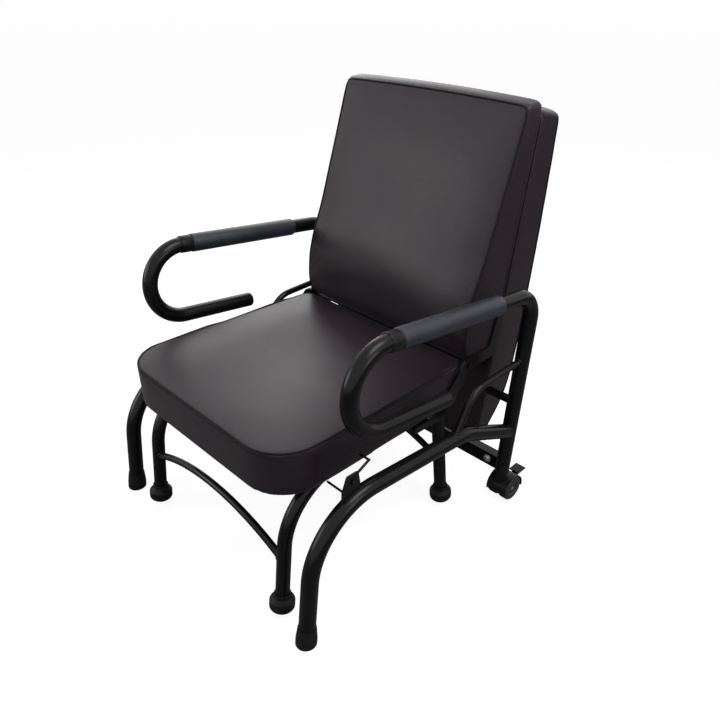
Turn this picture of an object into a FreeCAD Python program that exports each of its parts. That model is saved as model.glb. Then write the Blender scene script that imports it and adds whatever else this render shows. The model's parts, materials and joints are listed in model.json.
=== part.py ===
"""Pull-out attendant chair: a tube chair whose seat rolls forward while its double back unfolds into a bed.

Millimetres. +Z is up, the chair faces -Y, and +X is the sitter's left. The origin is on the floor under the
middle of the chair's box. Heights are written above the floor, and distances along the chair are written
from the line between the two front feet; every body is then shifted back by box_middle.
"""
import FreeCAD, Part
import math
import os
import Sketcher
from FreeCAD import Placement, Rotation, Vector

SIZES = {
    # Tubes and gaps
    "tube_od": 35, "tube_wall": 1.5, "seat_tube_od": 30, "seat_tube_wall": 1.5,
    "brace_od": 16, "brace_wall": 1.2, "weld_gap": 0.2, "slip_gap": 0.3,
    "box_middle": 394.18, "round_flat": 0.01,
    # Side hoops: upright, armrest and hook
    "hoop_half_span": 339, "upright_bottom": 86, "upright_y": 631, "upright_lean": 5.4,
    "arm_height": 547, "arm_run": 539, "arm_rise": 5.8, "hook_level": 427.6, "hook_return": 274,
    "arm_bend": 62, "sleeve_od": 42, "sleeve_start": 130, "sleeve_length": 302,
    "plug_depth": 18, "plug_dome": 7,
    # Side rails: front leg, rail and the tail that bends down to the upright
    "leg_splay": 6.7, "leg_bottom": 12, "rail_height": 302, "rail_drop": 3.2, "rail_bend": 162,
    "rail_kink": 462, "kink_bend": 70, "tail_height": 198,
    "foot_od": 44, "foot_lip": 1.5, "foot_flare": 15, "foot_height": 42, "foot_round": 6,
    # Curved braces and rear crossbar
    "brace_height": 386, "brace_front": 484, "brace_foot": 436, "brace_bend": 72, "brace_sink": 10.5,
    "bar_height": 36, "bar_depth": 24, "bar_wall": 2, "bar_level": 106, "bolt_inset": 22,
    "bolt_od": 8, "bolt_head_od": 14, "bolt_head": 5.5,
    # Casters
    "wheel_od": 64, "wheel_width": 24, "wheel_round": 5, "hub_od": 30, "hub_depth": 3, "web": 8,
    "caster_trail": 18, "hood_gap": 1.5, "hood_wall": 2.5, "hood_drop": 6, "boss_od": 26, "boss_top": 80,
    "stem_od": 11, "stem_grip": 16, "stem_depth": 38, "socket_flange": 3, "axle_od": 8,
    "pedal_reach": 46, "pedal_angle": 12, "pedal_width": 28, "pedal_length": 24, "pedal_plate": 4,
    "ear_radius": 6, "pedal_pin_od": 4, "pedal_lug": 3, "pedal_lug_half": 4.5, "pedal_round": 1.6,
    # Seat frame
    "seat_rail_half_span": 243, "seat_front_foot": 14, "seat_rear_foot": 518, "seat_rail_height": 301.6,
    "seat_front_bend": 151, "seat_rear_bend": 44, "ball_od": 54, "ball_height": 52, "ball_neck": 15,
    "ball_collar": 3, "ball_sole": 12, "ball_flat": 1, "belly_low": 14.9, "belly_high": 35.1,
    "neck_low": 43.2, "sole_round": 8, "belly_round": 10, "shoulder_round": 7, "neck_round": 4,
    "rim_round": 1,
    "arch_height": 132, "arch_rise": 56, "bearer_width": 30, "bearer_height": 20, "bearer_wall": 1.5,
    "front_bearer": 220, "rear_bearer": 395,
    # Seat
    "board": 12, "seat_front_overhang": 38, "seat_rear_overhang": 22, "seat_front": 7, "seat_rear": 531,
    "seat_seam": 402, "seat_crown": 15, "seat_skirt": 13, "seat_front_round": 98, "seat_rear_round": 26,
    "seat_edge": 5, "seat_board_inset": 8,
    # Back: the fold plane lies between the two boards
    "hinge_y": 547, "hinge_z": 390, "back_lean": 9.5, "fold_reach": 553.7, "hinge_offset": 98,
    "back_overhang": 24, "fold_gap": 0.5, "end_gap": 6, "front_back_end": 547, "back_round": 18,
    "front_top_depth": 50, "front_mid_depth": 116, "front_mid": 340, "lumbar_depth": 129, "lumbar": 440,
    "front_end_depth": 102, "back_crown": 7, "back_waist": 4,
    "rear_back_end": 788, "rear_board_inset": 20, "rear_top_depth": 76, "rear_mid": 290, "rear_mid_depth": 100,
    "rear_swell": 500, "rear_swell_depth": 110, "rear_turn": 640, "rear_lip": 33,
    # Back hinges and pivots
    "ear_plate": 4, "ear_height": 130, "ear_boss": 14, "ear_round": 2, "hinge_pin_od": 10, "hinge_plate": 4,
    "hinge_pin_head": 3, "hinge_pin_head_od": 16, "standoff_front": 372, "standoff_rear": 424,
    "standoff_height": 16, "standoff_step": 2, "plate_gap": 0.7, "plate_boss": 16, "plate_round": 7,
    "knuckle_od": 10, "knuckle_length": 22, "knuckle_pin_od": 5, "knuckle_span": 150, "leaf": 2,
    "pivot_pin_od": 12, "pivot_gap": 0.8, "bracket_od": 20, "pivot_grip": 24, "pivot_stub": 10,
    # Catches on the side rails
    "lug_plate": 4, "lug_front": 104, "lug_rear": 150, "lug_tip": 352, "lug_round": 5,
    "catch_y": 131, "catch_z": 334,
    "catch_bolt_od": 6, "catch_head": 4, "catch_head_od": 13, "wire_od": 4, "wire_eye_od": 14,
    "finger_y": 117, "finger_z": 309.5, "finger_gap": 3, "handle_y": 178, "handle_z": 357,
    "handle_turn": 24,
}

doc = FreeCAD.newDocument("AttendantChair")
sheet = doc.addObject("Spreadsheet::Sheet", "Sizes")
for row, (alias, number) in enumerate(SIZES.items(), 1):
    sheet.set(f"A{row}", alias)
    sheet.set(f"B{row}", str(number))
    sheet.setAlias(f"B{row}", alias)
doc.recompute()


class Size:
    """A length or an angle that knows both its number and its formula on the sheet."""

    def __init__(self, number, formula):
        self.number = number
        self.formula = formula

    def __add__(self, other):
        return Size(self.number + number_of(other), f"({self.formula} + {formula_of(other)})")

    def __sub__(self, other):
        return Size(self.number - number_of(other), f"({self.formula} - {formula_of(other)})")

    def __mul__(self, other):
        return Size(self.number * number_of(other), f"({self.formula} * {formula_of(other)})")

    def __truediv__(self, other):
        return Size(self.number / number_of(other), f"({self.formula} / {formula_of(other)})")

    def __neg__(self):
        return Size(-self.number, f"(0 - {self.formula})")


def number_of(value):
    return value.number if isinstance(value, Size) else float(value)


def formula_of(value):
    return value.formula if isinstance(value, Size) else f"({value})"


def size(alias):
    return Size(float(sheet.get(alias)), f"Sizes.{alias}")


def sine(angle):
    return Size(math.sin(math.radians(angle.number)), f"sin({angle.formula})")


def cosine(angle):
    return Size(math.cos(math.radians(angle.number)), f"cos({angle.formula})")


def tangent(angle):
    return Size(math.tan(math.radians(angle.number)), f"tan({angle.formula})")


bodies = []


def new_body(label):
    body = doc.addObject("PartDesign::Body", "Body")
    body.Label = label
    body.AllowCompound = True
    body.setExpression("Placement.Base.y", "0 - Sizes.box_middle")
    bodies.append(body)
    return body


def bind_point(thing, name, point):
    for axis, value in zip("xyz", point):
        thing.setExpression(f"{name}.{axis}", formula_of(value))


def sketch_on(body, role, origin=(0, 0, 0), turn=None, tilt=None):
    """A sketch on one of the body's own planes, moved in the plane's axes, then turned or tilted."""
    sketch = body.newObject("Sketcher::SketchObject", "Sketch")
    support = next(plane for plane in body.Origin.OriginFeatures if plane.Role == role)
    sketch.AttachmentSupport = [(support, "")]
    sketch.MapMode = "FlatFace"
    place = Vector(*(number_of(value) for value in origin))
    if turn is None and tilt is None:
        sketch.AttachmentOffset = Placement(place, Rotation())
    else:
        axis, angle = (Vector(0, 0, 1), turn) if tilt is None else (Vector(1, 0, 0), tilt)
        # The axis is set with a positive angle, so that the bound angle keeps its own sign.
        sketch.AttachmentOffset = Placement(place, Rotation(axis, abs(angle.number)))
        sketch.setExpression("AttachmentOffset.Rotation.Angle", angle.formula)
    bind_point(sketch, "AttachmentOffset.Base", origin)
    return sketch


def dimension(sketch, kind, geometry, corner, value, name):
    """Ties a sketch point to its distance from the sketch's origin."""
    if abs(number_of(value)) < 1e-9:
        axis = -2 if kind == "DistanceX" else -1
        sketch.addConstraint(Sketcher.Constraint("PointOnObject", geometry, corner, axis))
        return
    ends = (-1, 1, geometry, corner)
    if number_of(value) < 0:
        ends = (geometry, corner, -1, 1)
        value = Size(-number_of(value), f"0 - {formula_of(value)}")
    index = sketch.addConstraint(Sketcher.Constraint(kind, *ends, number_of(value)))
    sketch.renameConstraint(index, name)
    sketch.setExpression(f"Constraints.{name}", formula_of(value))


def draw(sketch, corners, bends, closed):
    """Straight runs between corners, with a tangent arc of the given radius at each corner that has one."""
    count = len(corners)
    points = [Vector(number_of(across), number_of(up), 0) for across, up in corners]
    arcs = {}
    for i in range(count):
        if not closed and i in (0, count - 1) or number_of(bends[i]) == 0:
            continue
        back = (points[i - 1] - points[i]).normalize()
        ahead = (points[(i + 1) % count] - points[i]).normalize()
        half = back.getAngle(ahead) / 2
        reach = number_of(bends[i]) / math.tan(half)
        middle = (back + ahead).normalize()
        centre = points[i] + middle * (number_of(bends[i]) / math.sin(half))
        start, end = points[i] + back * reach, points[i] + ahead * reach
        arcs[i] = (start, centre - middle * number_of(bends[i]), end)
    runs = []
    for i in range(count if closed else count - 1):
        k = (i + 1) % count
        start = arcs[i][2] if i in arcs else points[i]
        end = arcs[k][0] if k in arcs else points[k]
        runs.append(sketch.addGeometry(Part.LineSegment(start, end), False))
    for i in range(count):
        before, after = runs[i - 1], runs[i % len(runs)]
        if not closed and i == 0:
            place = (runs[0], 1)
        elif not closed and i == count - 1:
            place = (runs[-1], 2)
        elif i in arcs:
            curve = sketch.addGeometry(Part.Arc(*arcs[i]), False)
            first = 1 if (sketch.getPoint(curve, 1) - arcs[i][0]).Length < 1e-6 else 2
            sketch.addConstraint(Sketcher.Constraint("Tangent", before, 2, curve, first))
            sketch.addConstraint(Sketcher.Constraint("Tangent", curve, 3 - first, after, 1))
            index = sketch.addConstraint(Sketcher.Constraint("Radius", curve, number_of(bends[i])))
            sketch.renameConstraint(index, f"bend{i}")
            sketch.setExpression(f"Constraints.bend{i}", formula_of(bends[i]))
            place = (sketch.addGeometry(Part.Point(points[i]), True), 1)
            sketch.addConstraint(Sketcher.Constraint("PointOnObject", *place, before))
            sketch.addConstraint(Sketcher.Constraint("PointOnObject", *place, after))
        else:
            sketch.addConstraint(Sketcher.Constraint("Coincident", before, 2, after, 1))
            place = (after, 1)
        dimension(sketch, "DistanceX", *place, corners[i][0], f"across{i}")
        dimension(sketch, "DistanceY", *place, corners[i][1], f"up{i}")
    return len(runs) + len(arcs)


def draw_circle(sketch, radius, across=0, up=0, name="circle"):
    centre = Vector(number_of(across), number_of(up), 0)
    circle = sketch.addGeometry(Part.Circle(centre, Vector(0, 0, 1), number_of(radius)), False)
    dimension(sketch, "DistanceX", circle, 3, across, f"{name}_across")
    dimension(sketch, "DistanceY", circle, 3, up, f"{name}_up")
    index = sketch.addConstraint(Sketcher.Constraint("Radius", circle, number_of(radius)))
    sketch.renameConstraint(index, name)
    sketch.setExpression(f"Constraints.{name}", formula_of(radius))


def pad(body, sketch, length, both=False):
    feature = body.newObject("PartDesign::Pad", "Pad")
    feature.Profile = sketch
    feature.setExpression("Length", formula_of(length))
    feature.Midplane = both
    return feature


def revolve(body, sketch):
    feature = body.newObject("PartDesign::Revolution", "Revolution")
    feature.Profile = sketch
    feature.ReferenceAxis = (sketch, ["V_Axis"])
    feature.Angle = 360
    return feature


def tube(body, path, edges, outside, wall):
    """A round tube along the path sketch, with its bore."""
    doc.recompute()
    ring = body.newObject("Sketcher::SketchObject", "Ring")
    ring.AttachmentSupport = [(path, "Edge1")]
    ring.MapMode = "NormalToEdge"
    ring.MapPathParameter = 0
    draw_circle(ring, outside / 2, name="outside")
    if wall is not None:
        draw_circle(ring, outside / 2 - wall, name="bore")
    doc.recompute()
    feature = body.newObject("PartDesign::AdditivePipe", "Tube")
    feature.Profile = ring
    feature.Spine = (path, [f"Edge{i + 1}" for i in range(edges)])
    doc.recompute()
    return feature


def rod(body, radius, start, end, cut=False):
    """A cylinder between two points, added to the body or cut from it."""
    kind = "PartDesign::SubtractiveCylinder" if cut else "PartDesign::AdditiveCylinder"
    feature = body.newObject(kind, "Rod")
    first, last = (Vector(*(number_of(value) for value in point)) for point in (start, end))
    feature.Placement = Placement(first, Rotation(Vector(0, 0, 1), last - first))
    bind_point(feature, "Placement.Base", start)
    feature.setExpression("Radius", formula_of(radius))
    steps = [(a, b) for a, b in zip(start, end) if number_of(a) != number_of(b)]
    squares = " + ".join(f"({formula_of(b)} - {formula_of(a)})^2" for a, b in steps)
    feature.setExpression("Height", f"sqrt({squares})")
    return feature


def block(body, low, high, cut=False):
    kind = "PartDesign::SubtractiveBox" if cut else "PartDesign::AdditiveBox"
    feature = body.newObject(kind, "Block")
    bind_point(feature, "Placement.Base", low)
    for name, a, b in zip(("Length", "Width", "Height"), low, high):
        feature.setExpression(name, f"{formula_of(b)} - {formula_of(a)}")
    return feature


def ball(body, radius, centre):
    feature = body.newObject("PartDesign::AdditiveSphere", "Ball")
    bind_point(feature, "Placement.Base", centre)
    feature.setExpression("Radius", formula_of(radius))
    return feature


def loft(body, sections):
    feature = body.newObject("PartDesign::AdditiveLoft", "Loft")
    feature.Profile = sections[0]
    feature.Sections = sections[1:]
    feature.Ruled = True
    return feature


def cut_below_floor(body, x, y):
    """Leaves a foot flat where it stands."""
    reach = size("ball_od")
    block(body, (x - reach, y - reach, -reach), (x + reach, y + reach, Size(0, "0")), cut=True)


def full_round(radius):
    """The largest round that still leaves a sliver of straight edge between two corners."""
    return radius - size("round_flat")


SIDES = (("left", 1), ("right", -1))
gap = size("slip_gap")
weld = size("weld_gap")
tube_radius = size("tube_od") / 2
seat_tube_radius = size("seat_tube_od") / 2
seat_front_half = size("seat_rail_half_span") + size("seat_front_overhang")
seat_rear_half = size("seat_rail_half_span") + size("seat_rear_overhang")
back_half = size("seat_rail_half_span") + size("back_overhang")

# Where the main lines of the outer frame run
lean = size("upright_lean")
rise = size("arm_rise")
splay = size("leg_splay")
right_angle = Size(90, "90")


def upright_at(level):
    return size("upright_y") + (level - size("upright_bottom")) * tangent(lean)


arm_corner = (upright_at(size("arm_height")), size("arm_height"))
hook_top = (arm_corner[0] - size("arm_run"), arm_corner[1] + size("arm_run") * tangent(rise))
hook_spread = (hook_top[1] - size("hook_level")) / cosine(rise)
hook_low = (hook_top[0] - hook_spread * sine(rise), size("hook_level"))
hook_end = (hook_low[0] + size("hook_return") * cosine(rise), hook_low[1] - size("hook_return") * sine(rise))
rail_corner = (size("rail_height") * tangent(splay), size("rail_height"))


def rail_at(y):
    return size("rail_height") - (y - rail_corner[0]) * tangent(size("rail_drop"))


def upright_axis(x):
    """The line of an upright, long enough to cut what is welded to it."""
    low, high = Size(0, "0"), size("arm_height")
    return (x, upright_at(low), low), (x, upright_at(high), high)


def rail_axis(x):
    far = size("upright_y")
    return (x, rail_corner[0], rail_corner[1]), (x, far, rail_at(far))


def side_hoop(label, side):
    body = new_body(f"{label}_side_hoop")
    path = sketch_on(body, "YZ_Plane", (0, 0, size("hoop_half_span") * side))
    foot = (size("upright_y"), size("upright_bottom"))
    hook_bend = full_round(hook_spread / 2)
    bends = (0, size("arm_bend"), hook_bend, hook_bend, 0)
    edges = draw(path, (foot, arm_corner, hook_top, hook_low, hook_end), bends, closed=False)
    tube(body, path, edges, size("tube_od"), size("tube_wall"))


def arm_sleeve(label, side):
    body = new_body(f"{label}_arm_sleeve")
    x = size("hoop_half_span") * side

    def along(distance):
        return (x, arm_corner[0] - distance * cosine(rise), arm_corner[1] + distance * sine(rise))

    start, end = along(size("sleeve_start")), along(size("sleeve_start") + size("sleeve_length"))
    rod(body, size("sleeve_od") / 2, start, end)
    rod(body, tube_radius + gap / 2, start, end, cut=True)


def hook_plug(label, side):
    """A domed plug in the free end of the hook."""
    body = new_body(f"{label}_hook_plug")
    sketch = sketch_on(body, "YZ_Plane", (hook_end[0], hook_end[1], size("hoop_half_span") * side),
                       turn=-(rise + right_angle))
    bore = tube_radius - size("tube_wall") - gap / 2
    dome = size("plug_dome")
    outline = ((0, -size("plug_depth")), (bore, -size("plug_depth")), (bore, weld), (tube_radius, weld),
               (tube_radius, dome), (0, dome))
    draw(sketch, outline, (0, 0, 0, 0, dome * 0.8, 0), closed=True)
    revolve(body, sketch)


def side_rail(label, side):
    body = new_body(f"{label}_side_rail")
    x = size("hoop_half_span") * side
    path = sketch_on(body, "YZ_Plane", (0, 0, x))
    foot = (size("leg_bottom") * tangent(splay), size("leg_bottom"))
    kink = (size("rail_kink"), rail_at(size("rail_kink")))
    tail = (upright_at(size("tail_height")), size("tail_height"))
    bends = (0, size("rail_bend"), size("kink_bend"), 0)
    edges = draw(path, (foot, rail_corner, kink, tail), bends, closed=False)
    tube(body, path, edges, size("tube_od"), size("tube_wall"))
    rod(body, tube_radius + weld, *upright_axis(x), cut=True)


def front_foot(label, side):
    """A rubber bell pushed over the end of the front leg, flat on the floor."""
    body = new_body(f"{label}_front_foot")
    x = size("hoop_half_span") * side
    sketch = sketch_on(body, "YZ_Plane", (0, 0, x), turn=-splay)
    outer, inner = size("foot_od") / 2, tube_radius + gap / 2
    top, seat, toe = size("foot_height"), size("leg_bottom") - weld, -size("foot_round")
    flare, lip = size("foot_flare"), inner + size("foot_lip")
    outline = ((0, toe), (outer, toe), (outer, flare), (lip, top), (inner, top), (inner, seat), (0, seat))
    draw(sketch, outline, (0, size("foot_round"), flare, 0, 0, 0, 0), closed=True)
    revolve(body, sketch)
    cut_below_floor(body, x, Size(0, "0"))


def curved_brace(label, side):
    body = new_body(f"{label}_curved_brace")
    x = size("hoop_half_span") * side
    path = sketch_on(body, "YZ_Plane", (0, 0, x))
    sink = size("brace_sink")
    top = (upright_at(size("brace_height")) - sink, size("brace_height"))
    corner = (size("brace_front"), size("brace_height") - size("brace_od") / 2)
    foot = (size("brace_foot"), rail_at(size("brace_foot")) + sink)
    edges = draw(path, (top, corner, foot), (0, size("brace_bend"), 0), closed=False)
    tube(body, path, edges, size("brace_od"), size("brace_wall"))
    rod(body, tube_radius + weld, *upright_axis(x), cut=True)
    rod(body, tube_radius + weld, *rail_axis(x), cut=True)


def rear_crossbar():
    body = new_body("rear_crossbar")
    level, reach = size("bar_level"), size("hoop_half_span")
    middle = upright_at(level)
    half_depth, half_height, wall = size("bar_depth") / 2, size("bar_height") / 2, size("bar_wall")
    block(body, (-reach, middle - half_depth, level - half_height),
          (reach, middle + half_depth, level + half_height))
    block(body, (-reach, middle - half_depth + wall, level - half_height + wall),
          (reach, middle + half_depth - wall, level + half_height - wall), cut=True)
    for label, side in SIDES:
        rod(body, tube_radius + weld, *upright_axis(reach * side), cut=True)
        x = (reach - tube_radius - size("bolt_inset")) * side
        rod(body, size("bolt_od") / 2 + gap / 2, (x, middle - size("bar_depth"), level),
            (x, middle + size("bar_depth"), level), cut=True)


def crossbar_bolts():
    """A bolt through the crossbar near each upright, with its head in front and its nut behind."""
    body = new_body("crossbar_bolts")
    level, half_depth, head = size("bar_level"), size("bar_depth") / 2, size("bolt_head")
    middle = upright_at(level)
    for label, side in SIDES:
        x = (size("hoop_half_span") - tube_radius - size("bolt_inset")) * side
        front, back = middle - half_depth - weld / 2, middle + half_depth + weld / 2
        rod(body, size("bolt_od") / 2, (x, front, level), (x, back, level))
        rod(body, size("bolt_head_od") / 2, (x, front - head, level), (x, front, level))
        rod(body, size("bolt_head_od") / 2, (x, back, level), (x, back + head, level))


# Casters: the wheel axle trails behind the stem
axle_level = size("wheel_od") / 2
axle_y = size("upright_y") + size("caster_trail")
hood_radius = size("wheel_od") / 2 + size("hood_gap") + size("hood_wall")
cavity_radius = size("wheel_od") / 2 + size("hood_gap")
pedal_y = axle_y + size("pedal_reach") * cosine(size("pedal_angle"))
pedal_z = axle_level + size("pedal_reach") * sine(size("pedal_angle"))
half_web = size("web") / 2
wheel_in = half_web + gap
wheel_out = wheel_in + size("wheel_width")
stem_foot = size("boss_top") - size("stem_grip")


def caster_socket(label, side):
    """A plug in the foot of the upright that holds the caster's stem."""
    body = new_body(f"{label}_caster_socket")
    x = size("hoop_half_span") * side
    sketch = sketch_on(body, "YZ_Plane", (size("upright_y"), size("upright_bottom"), x), turn=-lean)
    bore = tube_radius - size("tube_wall") - gap / 2
    flange = -(size("socket_flange") + weld)
    outline = ((0, flange), (tube_radius, flange), (tube_radius, -weld), (bore, -weld),
               (bore, size("stem_depth") + gap * 4), (0, size("stem_depth") + gap * 4))
    draw(sketch, outline, (0, 0, 0, 0, 0, 0), closed=True)
    revolve(body, sketch)
    top = size("upright_bottom") + size("stem_depth") - size("socket_flange")
    rod(body, size("stem_od") / 2 + gap / 2, (x, size("upright_y"), stem_foot),
        (x, size("upright_y"), top), cut=True)


def caster_stem(label, side):
    body = new_body(f"{label}_caster_stem")
    x = size("hoop_half_span") * side
    top = size("upright_bottom") + size("stem_depth") - size("socket_flange") - gap
    rod(body, size("stem_od") / 2, (x, size("upright_y"), stem_foot),
        (x, size("upright_y"), top))


def caster_hood(label, side):
    body = new_body(f"{label}_caster_hood")
    x = size("hoop_half_span") * side
    width = wheel_out * 2
    sketch = sketch_on(body, "YZ_Plane", (axle_y, axle_level, x))
    low = -size("hood_drop")
    outline = ((-hood_radius, low), (hood_radius, low), (hood_radius, hood_radius),
               (-hood_radius, hood_radius))
    draw(sketch, outline, (0, 0, full_round(hood_radius), full_round(hood_radius)), closed=True)
    pad(body, sketch, width, both=True)
    rod(body, size("boss_od") / 2, (x, size("upright_y"), axle_level),
        (x, size("upright_y"), size("boss_top")))
    ear = sketch_on(body, "YZ_Plane", (axle_y, axle_level, x), turn=size("pedal_angle") - right_angle)
    radius = size("ear_radius")
    tip = size("pedal_reach") + radius
    draw(ear, ((-radius, hood_radius / 2), (radius, hood_radius / 2), (radius, tip), (-radius, tip)),
         (0, 0, full_round(radius), full_round(radius)), closed=True)
    pad(body, ear, size("web"), both=True)
    doc.recompute()
    for face in (1, -1):
        near, far = x + half_web * face, x + (wheel_out + size("web")) * face
        rod(body, cavity_radius, (near, axle_y, axle_level), (far, axle_y, axle_level), cut=True)
    side_on = (x - width, x + width)
    rod(body, size("axle_od") / 2 + gap / 2, *((end, axle_y, axle_level) for end in side_on), cut=True)
    rod(body, size("pedal_pin_od") / 2 + gap / 2, *((end, pedal_y, pedal_z) for end in side_on), cut=True)
    rod(body, size("stem_od") / 2 + gap / 2, (x, size("upright_y"), stem_foot),
        (x, size("upright_y"), size("boss_top") + gap), cut=True)


def caster_axle(label, side):
    body = new_body(f"{label}_caster_axle")
    x = size("hoop_half_span") * side
    reach = wheel_out - size("hub_depth") + weld
    rod(body, size("axle_od") / 2, (x - reach, axle_y, axle_level), (x + reach, axle_y, axle_level))


def caster_wheel(label, side, name, face):
    """One wheel of the pair: a rounded tread with a dished hub, turned about the axle."""
    body = new_body(f"{label}_caster_{name}_wheel")
    x = size("hoop_half_span") * side
    sketch = sketch_on(body, "XY_Plane", (x, axle_y, axle_level))
    bore, hub, rim = size("axle_od") / 2 + gap / 2, size("hub_od") / 2, size("wheel_od") / 2
    dish = wheel_out - size("hub_depth")
    outline = ((wheel_in * face, bore), (dish * face, bore), (dish * face, hub),
               (wheel_out * face, hub + size("hub_depth")), (wheel_out * face, rim), (wheel_in * face, rim))
    if face < 0:
        outline = outline[::-1]
    bends = [size("wheel_round") if number_of(up) == rim.number else 0 for across, up in outline]
    draw(sketch, outline, bends, closed=True)
    feature = revolve(body, sketch)
    feature.ReferenceAxis = (sketch, ["H_Axis"])


def brake_pedal(label, side):
    """A tread plate over the hood's rear, on two lugs and a pin through the hood's ear."""
    body = new_body(f"{label}_brake_pedal")
    x = size("hoop_half_span") * side
    radius, plate, half = size("ear_radius"), size("pedal_plate"), size("pedal_width") / 2
    top = radius + gap * 2
    inner = half_web + gap
    tread = sketch_on(body, "YZ_Plane", (pedal_y, pedal_z, x))
    tip, tip_round = size("pedal_length"), size("pedal_round")
    draw(tread, ((-radius, top), (tip, top + plate / 2), (tip, top + plate * 1.5), (-radius, top + plate)),
         (0, tip_round, tip_round, 0), closed=True)
    pad(body, tread, size("pedal_width"), both=True)
    for face in (1, -1):
        centre = inner + size("pedal_lug") / 2
        lug = sketch_on(body, "YZ_Plane", (pedal_y, pedal_z, x + centre * face))
        foot = size("pedal_lug_half")
        draw(lug, ((-foot, -foot), (foot, -foot), (foot, top + plate / 2), (-foot, top + plate / 2)),
             (full_round(foot), full_round(foot), 0, 0), closed=True)
        pad(body, lug, size("pedal_lug"), both=True)
    reach = inner + size("pedal_lug")
    rod(body, size("pedal_pin_od") / 2, (x - reach, pedal_y, pedal_z), (x + reach, pedal_y, pedal_z))


# Catches on the side rails
catch_y, catch_z = size("catch_y"), size("catch_z")
lug_in = size("hoop_half_span") - size("lug_plate") / 2
lug_out = size("hoop_half_span") + size("lug_plate") / 2
wire_line = lug_in - size("wire_od") / 2 - weld - gap


def catch_lug(label, side):
    """A triangular plate welded on top of the side rail's bend."""
    body = new_body(f"{label}_catch_lug")
    x = size("hoop_half_span") * side
    sketch = sketch_on(body, "YZ_Plane", (0, 0, x))
    front, rear, tip = size("lug_front"), size("lug_rear"), size("lug_tip")
    foot = rail_corner[1] - tube_radius
    nose = catch_y - size("wire_eye_od")
    heel, shoulder, corner = catch_y + size("wire_eye_od"), foot + size("tube_od"), size("lug_round")
    draw(sketch, ((front, foot), (rear, foot), (rear, shoulder), (heel, tip), (nose, tip), (front, shoulder)),
         (0, 0, 0, corner, corner, 0), closed=True)
    pad(body, sketch, size("lug_plate"), both=True)
    rod(body, size("catch_bolt_od") / 2 + weld / 2, (x - tube_radius, catch_y, catch_z),
        (x + tube_radius, catch_y, catch_z), cut=True)
    bend, drop = size("rail_bend"), size("rail_drop")
    bend_y = rail_corner[0] + bend * tangent((right_angle - splay + drop) / 2) * cosine(drop)
    centre_y = bend_y - bend * sine(drop)
    centre_z = rail_at(bend_y) - bend * cosine(drop)
    outer = bend + tube_radius + weld
    rod(body, outer, (x - tube_radius, centre_y, centre_z), (x + tube_radius, centre_y, centre_z), cut=True)


def catch_bolts():
    body = new_body("catch_bolts")
    for label, side in SIDES:
        inner = wire_line - size("wire_od") / 2 - weld - gap
        outer = lug_out + weld
        rod(body, size("catch_bolt_od") / 2, (inner * side, catch_y, catch_z),
            (outer * side, catch_y, catch_z))
        rod(body, size("catch_head_od") / 2, (outer * side, catch_y, catch_z),
            ((outer + size("catch_head")) * side, catch_y, catch_z))
        rod(body, size("catch_head_od") / 2, ((inner - size("catch_head")) * side, catch_y, catch_z),
            (inner * side, catch_y, catch_z))


def wire_catch(label, side):
    """Bent wire round the catch bolt: a finger that points inward and a handle that rises behind."""
    body = new_body(f"{label}_wire_catch")
    x = wire_line * side
    radius = size("wire_od") / 2
    path = sketch_on(body, "YZ_Plane", (0, 0, x))
    finger, eye = (size("finger_y"), size("finger_z")), (catch_y, catch_z)
    handle = (size("handle_y"), size("handle_z"))
    edges = draw(path, (finger, eye, handle), (0, size("wire_od") * 2, 0), closed=False)
    tube(body, path, edges, size("wire_od"), None)
    inner, outer = wire_line - radius - weld, wire_line + radius + weld
    rod(body, size("wire_eye_od") / 2, (inner * side, catch_y, catch_z), (outer * side, catch_y, catch_z))
    finger_end = seat_front_half + size("finger_gap")
    for tip, place in ((finger_end, finger), (wire_line - size("handle_turn"), handle)):
        ball(body, radius + weld, (x, *place))
        rod(body, radius - weld, (x, *place), (tip * side, *place))
    rod(body, size("catch_bolt_od") / 2 + gap, ((inner - weld) * side, catch_y, catch_z),
        ((outer + weld) * side, catch_y, catch_z), cut=True)


# Seat frame: two inverted-U rails joined by arches and bearers
seat_rail_z = size("seat_rail_height")
seat_top_of_rail = seat_rail_z + seat_tube_radius
seat_skirt_z = seat_top_of_rail - size("seat_skirt")
leg_end = size("ball_height") - size("ball_neck")


def front_leg_at(level):
    return size("seat_front_foot") + level * tangent(splay)


def rear_leg_at(level):
    return size("seat_rear_foot") - level * tangent(splay)


def seat_rail(label, side):
    body = new_body(f"{label}_seat_rail")
    path = sketch_on(body, "YZ_Plane", (0, 0, size("seat_rail_half_span") * side))
    corners = ((front_leg_at(leg_end), leg_end), (front_leg_at(seat_rail_z), seat_rail_z),
               (rear_leg_at(seat_rail_z), seat_rail_z), (rear_leg_at(leg_end), leg_end))
    edges = draw(path, corners, (0, size("seat_front_bend"), size("seat_rear_bend"), 0), closed=False)
    tube(body, path, edges, size("seat_tube_od"), size("seat_tube_wall"))


def ball_foot(label, side, end, foot_y, turn):
    """An onion-shaped foot: a neck round the tube, a wide ball and a domed sole with a small flat."""
    body = new_body(f"{end}_{label}_ball_foot")
    x = size("seat_rail_half_span") * side
    sketch = sketch_on(body, "YZ_Plane", (foot_y, 0, x), turn=turn)
    outer, inner = size("ball_od") / 2, seat_tube_radius + gap / 2
    neck, sole, toe = seat_tube_radius + size("ball_collar"), size("ball_sole") / 2, -size("ball_flat")
    top, seat = size("ball_height"), leg_end - weld
    outline = ((0, toe), (sole, toe), (outer, size("belly_low")), (outer, size("belly_high")),
               (neck, size("neck_low")), (neck, top), (inner, top), (inner, seat), (0, seat))
    belly, shoulder = size("belly_round"), size("shoulder_round")
    bends = (0, size("sole_round"), belly, shoulder, size("neck_round"), size("rim_round"), 0, 0, 0)
    draw(sketch, outline, bends, closed=True)
    revolve(body, sketch)
    cut_below_floor(body, x, foot_y)


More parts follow.
